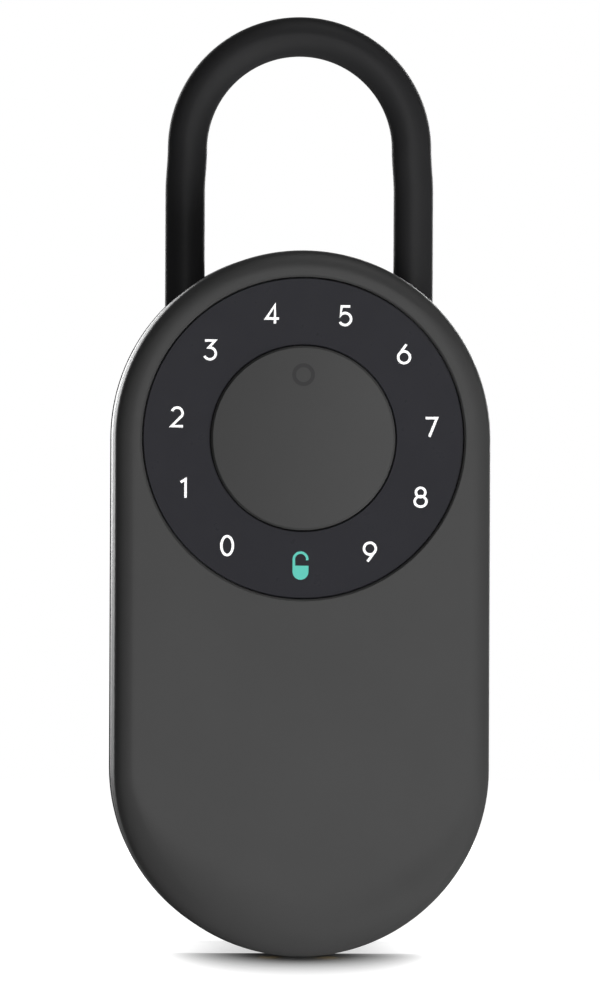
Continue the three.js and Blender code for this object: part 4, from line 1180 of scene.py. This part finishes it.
def grained(name, colour, roughness, spread, grain, relief, metallic, specular):
    """A finish with a fine grain: colour, roughness and relief all vary a little over the surface."""
    material, tree, shader = node_material(name, colour, roughness, metallic, specular)
    fine = noise(tree, grain, GRAIN_DETAIL)
    tones = (scaled(colour, 1 - spread), scaled(colour, 1 + spread))
    tone = ramp(tree, noise(tree, TONE_SCALE, TONE_DETAIL), zip(TONE_STOPS, tones))
    swing = level(tree, fine, roughness - ROUGHNESS_SWING, roughness + ROUGHNESS_SWING)
    grain_relief = {"Strength": RELIEF_STRENGTH, "Distance": relief, "Height": fine}
    normal = add_node(tree, "ShaderNodeBump", grain_relief).outputs["Normal"]
    set_inputs(tree, shader, {"Base Color": tone, "Roughness": swing, "Normal": normal})
    return material


def glowing(material, colour, strength):
    """Adds the weak light of a sign that is lit from behind."""
    tree = material.node_tree
    light = {"Emission Color": (*colour, 1), "Emission Strength": strength}
    set_inputs(tree, tree.nodes["Principled BSDF"], light)


def add_painted_light(material, left, right):
    """Paints light into a finish: a painted gradient that makes it lighter from its left side to its right
    side, as where light falls from the right.
    """
    tree = material.node_tree
    base = tree.nodes["Principled BSDF"].inputs["Base Color"]
    strength = level(tree, axes(tree)["X"], left, right)
    painted_tone = add_node(tree, "ShaderNodeVectorMath", {0: base.links[0].from_socket})
    painted_tone.operation = "SCALE"
    set_inputs(tree, painted_tone, {"Scale": strength})
    tree.links.new(painted_tone.outputs["Vector"], base)


# The finishes, most of them named after the material slot that they are for.
# Each has its colour, roughness, spread of tone, grain, relief in metres, metal share and gloss.
COAT = (screen(64, 64, 64), 0.46, 0.04, 1400.0, 0.00001, 0.0, 0.34)
FINISH_VALUES = {
    "coated_metal": COAT,
    # The cap's coat: the same coat, with painted light that makes it lighter towards its right side
    "cap_coat_painted_light": COAT,
    "cast_metal": (screen(58, 58, 60), 0.3, 0.1, 500.0, 0.000002, 0.0, 0.5),
    # The back edge band of the rear body: matt, and darker than the cast, the darker colour being painted
    # shade that draws a dark outline
    "cast_matt_painted_shade": (screen(48, 48, 50), 0.6, 0.1, 500.0, 0.00001, 0.0, 0.0),
    "touch_ring": (screen(43, 43, 48), 0.3, 0.03, 300.0, 0.000001, 0.0, 0.1),
    "sleeve": (screen(43, 43, 44), 0.5, 0.06, 1200.0, 0.00002, 0.0, 0.2),
    "rubber": (screen(38, 38, 39), 0.75, 0.15, 900.0, 0.00004, 0.0, 0.3),
    "foam_mat": (screen(60, 62, 66), 0.9, 0.2, 600.0, 0.0001, 0.0, 0.2),
    "dark_plastic": (screen(66, 67, 69), 0.5, 0.08, 1500.0, 0.00002, 0.0, 0.4),
    "steel": ((0.55, 0.55, 0.56), 0.32, 0.08, 500.0, 0.00001, 1.0, 0.5),
    "brass": ((0.71, 0.53, 0.24), 0.35, 0.1, 500.0, 0.00001, 1.0, 0.5),
    "circuit_board": ((0.01, 0.12, 0.05), 0.4, 0.15, 700.0, 0.00001, 0.0, 0.5),
    "dark_board": (screen(20, 21, 22), 0.5, 0.1, 700.0, 0.00001, 0.0, 0.3),
    "clear_plastic": ((0.8, 0.82, 0.84), 0.2, 0.05, 300.0, 0.000005, 0.0, 0.5),
    "cell_wrap": ((0.03, 0.1, 0.16), 0.3, 0.05, 300.0, 0.000005, 0.0, 0.5),
    "print_white": ((0.86, 0.86, 0.86), 0.5, 0.02, 800.0, 0.000002, 0.0, 0.2),
    "print_teal": (screen(92, 192, 176), 0.5, 0.03, 800.0, 0.000002, 0.0, 0.2),
    "status_window": (screen(54, 54, 55), 0.4, 0.03, 500.0, 0.000002, 0.0, 0.2),
}
finishes = {name: grained(name, *values) for name, values in FINISH_VALUES.items()}
# Painted light on the cap's coat, lighter towards its right side
add_painted_light(finishes["cap_coat_painted_light"], *CAP_PAINTED_LIGHT)
glowing(finishes["print_white"], (1.0, 1.0, 1.0), GLOW_WHITE)
glowing(finishes["print_teal"], screen(92, 192, 176), GLOW_TEAL)


# Pieces

def dress_cad_nodes():
    """Gives every solid of the frame the finish of its slot, and soft edges."""
    for entry in frame["record"]["subparts"]:
        solid = nodes[entry["node"]]
        solid.data.materials.clear()
        solid.data.materials.append(finishes[entry["material_slot"]])
        soften(solid, CAD_EDGE)
        flatten(solid)
    nodes["touch_board"].data.materials[0] = finishes["dark_board"]


def painted(piece, finish, chosen):
    """Gives a second finish to the faces whose middles, in millimetres, are chosen."""
    piece.data.materials.append(finishes[finish])
    for face in piece.data.polygons:
        if chosen(face.center / MM):
            face.material_index = 1


def set_screws(name, seat, places, turn, body, node):
    for number, (x, z) in enumerate(places, 1):
        mesh = placed(screw_mesh(), (x, seat, z), turn)
        piece_of(f"{name}_{number}", mesh, body, "steel", [f"{node}_{number}"])


dress_cad_nodes()

piece_of("cover_shell", cover_mesh(), "lid", "coated_metal", ["front_cover"], 0.18)
piece_of("touch_ring", on_dial(RING_PROFILE, sides=256), "lid", "touch_ring", ["keypad_ring"])
# The dial cap, with painted light on its coat
piece_of("dial_cap", cap_mesh(), "lid", "coated_metal", ["centre_cap"], finish="cap_coat_painted_light")
piece_of("status_window", status_ring(PRINT_PROUD), "lid", "clear_plastic", finish="status_window")
for digit in DIGIT_PLACES:
    piece_of(f"digit_{digit}", digit_mesh(digit), "lid", "touch_ring", finish="print_white")
piece_of("padlock_sign", padlock_mesh(), "lid", "touch_ring", finish="print_teal")
piece_of("sleeve_tube", sleeve_mesh(), "shackle", "sleeve", ["shackle_sleeve"], 0.3)
piece_of("shackle_bar", core_mesh(), "shackle", "steel", ["shackle_core"], 0.3)
rear_shell = piece_of("rear_shell", rear_mesh(), "case", "cast_metal", ["rear_body"], 0.25)
# The back edge band of the rear body: matt, with painted shade in its darker colour
painted(rear_shell, "cast_matt_painted_shade", lambda middle: middle.y > REAR_BAND)
for number, mesh in enumerate(ear_meshes(), 1):
    piece_of(f"hinge_eye_{number}", mesh, "case", "cast_metal", edge=0.15)
piece_of("wall_pad", pad_mesh(), "case", "rubber", ["back_pad"], 0.15)
piece_of("key_rest", mat_mesh(), "case", "foam_mat", ["key_mat"], 0.3)
piece_of("bay_plate", bay_cover_mesh(), "case", "dark_plastic", ["bay_cover"], 0.2)
piece_of("liner_plate", liner_mesh(), "lid", "dark_plastic", ["lid_liner"], 0.2)
piece_of("door_seal", seal_mesh(), "lid", "rubber", ["lid_seal"])
piece_of("pull_knob", knob_mesh(), "latch", "dark_plastic", ["release_knob"], 0.15)
piece_of("tray_door", battery_cover_mesh(), "battery_door", "dark_plastic", ["battery_cover"], 0.2)
pin = placed(turned(PIN_PROFILE, sides=32), (0, HINGE_Y, HINGE_Z), LYING_ACROSS)
piece_of("hinge_rod", pin, "case", "steel", ["hinge_pin"])
buzzer = placed(turned(BUZZER_PROFILE), BUZZER_PLACE, FACING_BACK)
piece_of("buzzer_can", buzzer, "lid", "dark_plastic", ["buzzer"])
piece_of("board_plate", board_mesh(), "lid", "circuit_board", ["main_board"], 0.1)
piece_of("board_chips", chip_mesh(), "lid", "circuit_board", edge=0.08, finish="dark_plastic")
piece_of("board_solder", solder_mesh(), "lid", "circuit_board", finish="steel")
piece_of("motor_body", motor_mesh(), "lid", "steel", ["gear_motor"], 0.15)
piece_of("strike_tongue", strike_mesh(), "case", "steel", ["strike_plate"], 0.2)
piece_of("cell_tray", tray_mesh(), "lid", "dark_plastic", ["battery_tray"], 0.15)
for place, (cells, x, z) in CONTACTS.items():
    strip = placed(contact_mesh(cells), (x, CELL_Y, z), FACING_FRONT)
    piece_of(f"strip_{place}", strip, "lid", "steel", [f"contact_{place}"], 0.08)
set_screws("bay_fastener", BAY_COVER[0], BAY_SCREW_PLACES, FACING_FRONT, "case", "bay_screw")
set_screws("strike_fastener", STRIKE_BASE[0], STRIKE_SCREW_PLACES, FACING_FRONT, "case", "strike_screw")
upper_first = sorted(LINER_SCREW_PLACES, key=lambda place: -place[1])
set_screws("liner_fastener", LINER_BACK, upper_first, FACING_BACK, "lid", "liner_screw")
for number, (x, z) in enumerate(FIXING_PLACES, 1):
    plug = placed(turned(PLUG_PROFILE), (x, PLUG_SEAT, z), FACING_FRONT)
    piece_of(f"hole_plug_{number}", plug, "case", "rubber", [f"wall_plug_{number}"])
for side, x in (("left", -LEG_X), ("right", LEG_X)):
    bush = placed(turned(BUSH_PROFILE), (x, SHACKLE_Y, BUSH_BOTTOM))
    piece_of(f"guide_bush_{side}", bush, "case", "dark_plastic", [f"socket_bush_{side}"])
for number, x in ((1, -JUMP_X), (2, JUMP_X)):
    stud = placed(turned(JUMP_PROFILE), (x, JUMP_Y, JUMP_Z))
    piece_of(f"jump_stud_{number}", stud, "lid", "brass", [f"jump_contact_{number}"])
for number in range(1, 5):
    cell = piece_of(f"cell_{number}", cell_mesh(number), "lid", "cell_wrap", [f"battery_cell_{number}"])
    painted(cell, "steel", lambda middle: abs(middle.z - CELL_Z) > CELL_BARE_FROM)


# Camera

PIXELS_PER_MM = 4.70
PICTURE_WIDTH = 600
PICTURE_HEIGHT = 1000
DIAL_PIXEL = (303.3, 438.1)
CAMERA_DISTANCE = 5200.0
CAMERA_AZIMUTH = math.radians(-1.75)
CAMERA_ROLL = math.radians(0.25)
SENSOR = 36.0


def set_camera():
    right = Vector((math.cos(CAMERA_AZIMUTH), math.sin(CAMERA_AZIMUTH), 0))
    ahead = Vector((-math.sin(CAMERA_AZIMUTH), math.cos(CAMERA_AZIMUTH), 0))
    up = Vector((0, 0, 1))
    rolled_right = right * math.cos(CAMERA_ROLL) + up * math.sin(CAMERA_ROLL)
    rolled_up = up * math.cos(CAMERA_ROLL) - right * math.sin(CAMERA_ROLL)
    across = (PICTURE_WIDTH / 2 - DIAL_PIXEL[0]) / PIXELS_PER_MM
    down = (PICTURE_HEIGHT / 2 - DIAL_PIXEL[1]) / PIXELS_PER_MM
    aim = Vector((0, FACE, DIAL_Z)) + rolled_right * across - rolled_up * down
    place = (aim - ahead * CAMERA_DISTANCE) * MM
    data = bpy.data.cameras.new("camera")
    data.sensor_fit = "VERTICAL"
    data.sensor_height = SENSOR
    data.lens = SENSOR * CAMERA_DISTANCE * PIXELS_PER_MM / PICTURE_HEIGHT
    data.clip_end = 100
    camera = new_object("camera", data)
    turn = Matrix((rolled_right, rolled_up, -ahead)).transposed().to_4x4()
    camera.matrix_world = Matrix.Translation(place) @ turn
    bpy.context.scene.camera = camera


# Surround: its strength from the front and from behind, for soft light and for reflections

WORLD_FRONT = 0.05
WORLD_BACK = 0.4
WORLD_LEFT = 0.12
BEHIND_EDGE = (0.0, 0.9)
LEFT_EDGE = (-0.9, 0.1)
GLOSS_FRONT = 0.1
GLOSS_BACK = 0.62
GLOSS_EDGE = (0.7, 1.0)


def set_world():
    """A white surround: bright where the camera or a reflection looks to the back, softer at the front."""
    world = bpy.data.worlds.new("studio")
    bpy.context.scene.world = world
    world.use_nodes = True
    tree = world.node_tree
    ray = add_node(tree, "ShaderNodeLightPath", {}).outputs
    direction = axes(tree)
    lit = level(tree, soft_step(tree, direction["Y"], *BEHIND_EDGE), WORLD_FRONT, WORLD_BACK)
    sideways = level(tree, soft_step(tree, direction["X"], *LEFT_EDGE), WORLD_LEFT, 1.0)
    soft = maths(tree, "MULTIPLY", lit, sideways)
    reflected = level(tree, soft_step(tree, direction["Y"], *GLOSS_EDGE), GLOSS_FRONT, GLOSS_BACK)
    shiny = maths(tree, "MAXIMUM", ray["Is Glossy Ray"], ray["Is Transmission Ray"])
    indirect = blended(tree, shiny, soft, reflected)
    amount = blended(tree, ray["Is Camera Ray"], indirect, 1.0)
    set_inputs(tree, tree.nodes["Background"], {"Color": (1, 1, 1, 1), "Strength": amount})


# Floor, with the shade under the case

FLOOR_REACH = 3000
FLOOR_EDGE = -32
FLOOR_BEND = 30
FLOOR_FALL = 0.016
FLOOR_DEPTH = 60
FLOOR_RISE = 0.12
FLOOR_HEIGHT = 2.6
FLOOR_COLOUR = (0.4, 0.4, 0.4)
FLOOR_ROUGHNESS = 0.9
FLOOR_ROWS = [
    *range(-FLOOR_REACH, -200, 200),
    *range(-200, -70, 10),
    *range(-70, FLOOR_EDGE, 2),
    FLOOR_EDGE,
    *[step / 2 for step in range(14)],
    FLOOR_REACH,
]
SHADOW_REACH = 9.5
SHADOW_SAMPLES = 32
SHADOW_STOPS = [(0.05, (0.0, 0.0, 0.0)), (0.85, (1.0, 1.0, 1.0))]


def floor_material():
    """White by its own light, and darker where the case stands close above it."""
    material, tree, shader = node_material("floor_white", FLOOR_COLOUR, FLOOR_ROUGHNESS, 0.0, 0.0)
    open_sky = add_node(tree, "ShaderNodeAmbientOcclusion", {"Distance": SHADOW_REACH * MM})
    open_sky.samples = SHADOW_SAMPLES
    white = ramp(tree, open_sky.outputs["AO"], SHADOW_STOPS)
    seen = add_node(tree, "ShaderNodeLightPath", {}).outputs["Is Camera Ray"]
    strength = maths(tree, "MULTIPLY", white, seen)
    set_inputs(tree, shader, {"Emission Color": (1, 1, 1, 1), "Emission Strength": strength})
    return material


def floor_height(y):
    """Level under the case, falling away in front of it and rising a little behind it."""
    ahead = min(FLOOR_EDGE - y, FLOOR_BEND)
    beyond = max(FLOOR_EDGE - y - FLOOR_BEND, 0)
    drop = FLOOR_FALL * max(ahead, 0) ** 2 + 2 * FLOOR_FALL * FLOOR_BEND * beyond
    rise = min(FLOOR_RISE * max(y, 0) ** 2, FLOOR_HEIGHT)
    return FOOT - min(drop, FLOOR_DEPTH) + rise


def set_floor():
    points = [(x, y, floor_height(y)) for y in FLOOR_ROWS for x in (-FLOOR_REACH, FLOOR_REACH)]
    faces = [(2 * i, 2 * i + 1, 2 * i + 3, 2 * i + 2) for i in range(len(FLOOR_ROWS) - 1)]
    mesh = raw_mesh(points, faces)
    mesh.transform(Matrix.Scale(MM, 4))
    mesh.shade_smooth()
    mesh.materials.append(floor_material())
    floor = new_object("studio_floor", mesh)
    floor.visible_shadow = False


# Lamps: name, place, aim and size in metres, and watts
LOW_AIM = (0.01, -0.05, -0.05)
LOW_SIZE = (0.16, 0.16)
LIGHTS = [
    ("key_light", (0.26, -0.62, -0.3), (0.02, -0.05, -0.04), (0.3, 0.4), 3.3),
    ("front_light", (0.0, -1.9, 0.35), (0.0, 0.0, 0.05), (0.7, 0.7), 4.8),
    ("back_light_left", (-0.5, 1.4, 0.3), (0.0, 0.0, 0.0), (0.6, 0.6), 4.5),
    ("back_light_right", (0.5, 1.4, 0.3), (0.0, 0.0, 0.0), (0.6, 0.6), 8.0),
    ("top_light", (0.15, -0.25, 1.0), (0.0, -0.02, 0.05), (0.6, 0.6), 1.6),
    ("low_light_1", (0.28, -0.66, -0.26), LOW_AIM, LOW_SIZE, 0.5),
    ("low_light_2", (0.4, -0.57, -0.36), LOW_AIM, LOW_SIZE, 1.0),
    ("low_light_3", (0.52, -0.36, -0.48), LOW_AIM, LOW_SIZE, 0.95),
    ("low_light_4", (0.58, -0.08, -0.54), LOW_AIM, LOW_SIZE, 0.06),
]


def area_light(name, place, aim, size, watts):
    data = bpy.data.lights.new(name, "AREA")
    data.shape = "RECTANGLE"
    data.size, data.size_y = size
    data.energy = watts
    lamp = new_object(name, data)
    lamp.location = place
    lamp.rotation_euler = (Vector(aim) - Vector(place)).to_track_quat("-Z", "Y").to_euler()


set_camera()
set_world()
set_floor()
for light in LIGHTS:
    area_light(*light)
bpy.context.scene.view_settings.view_transform = "Standard"
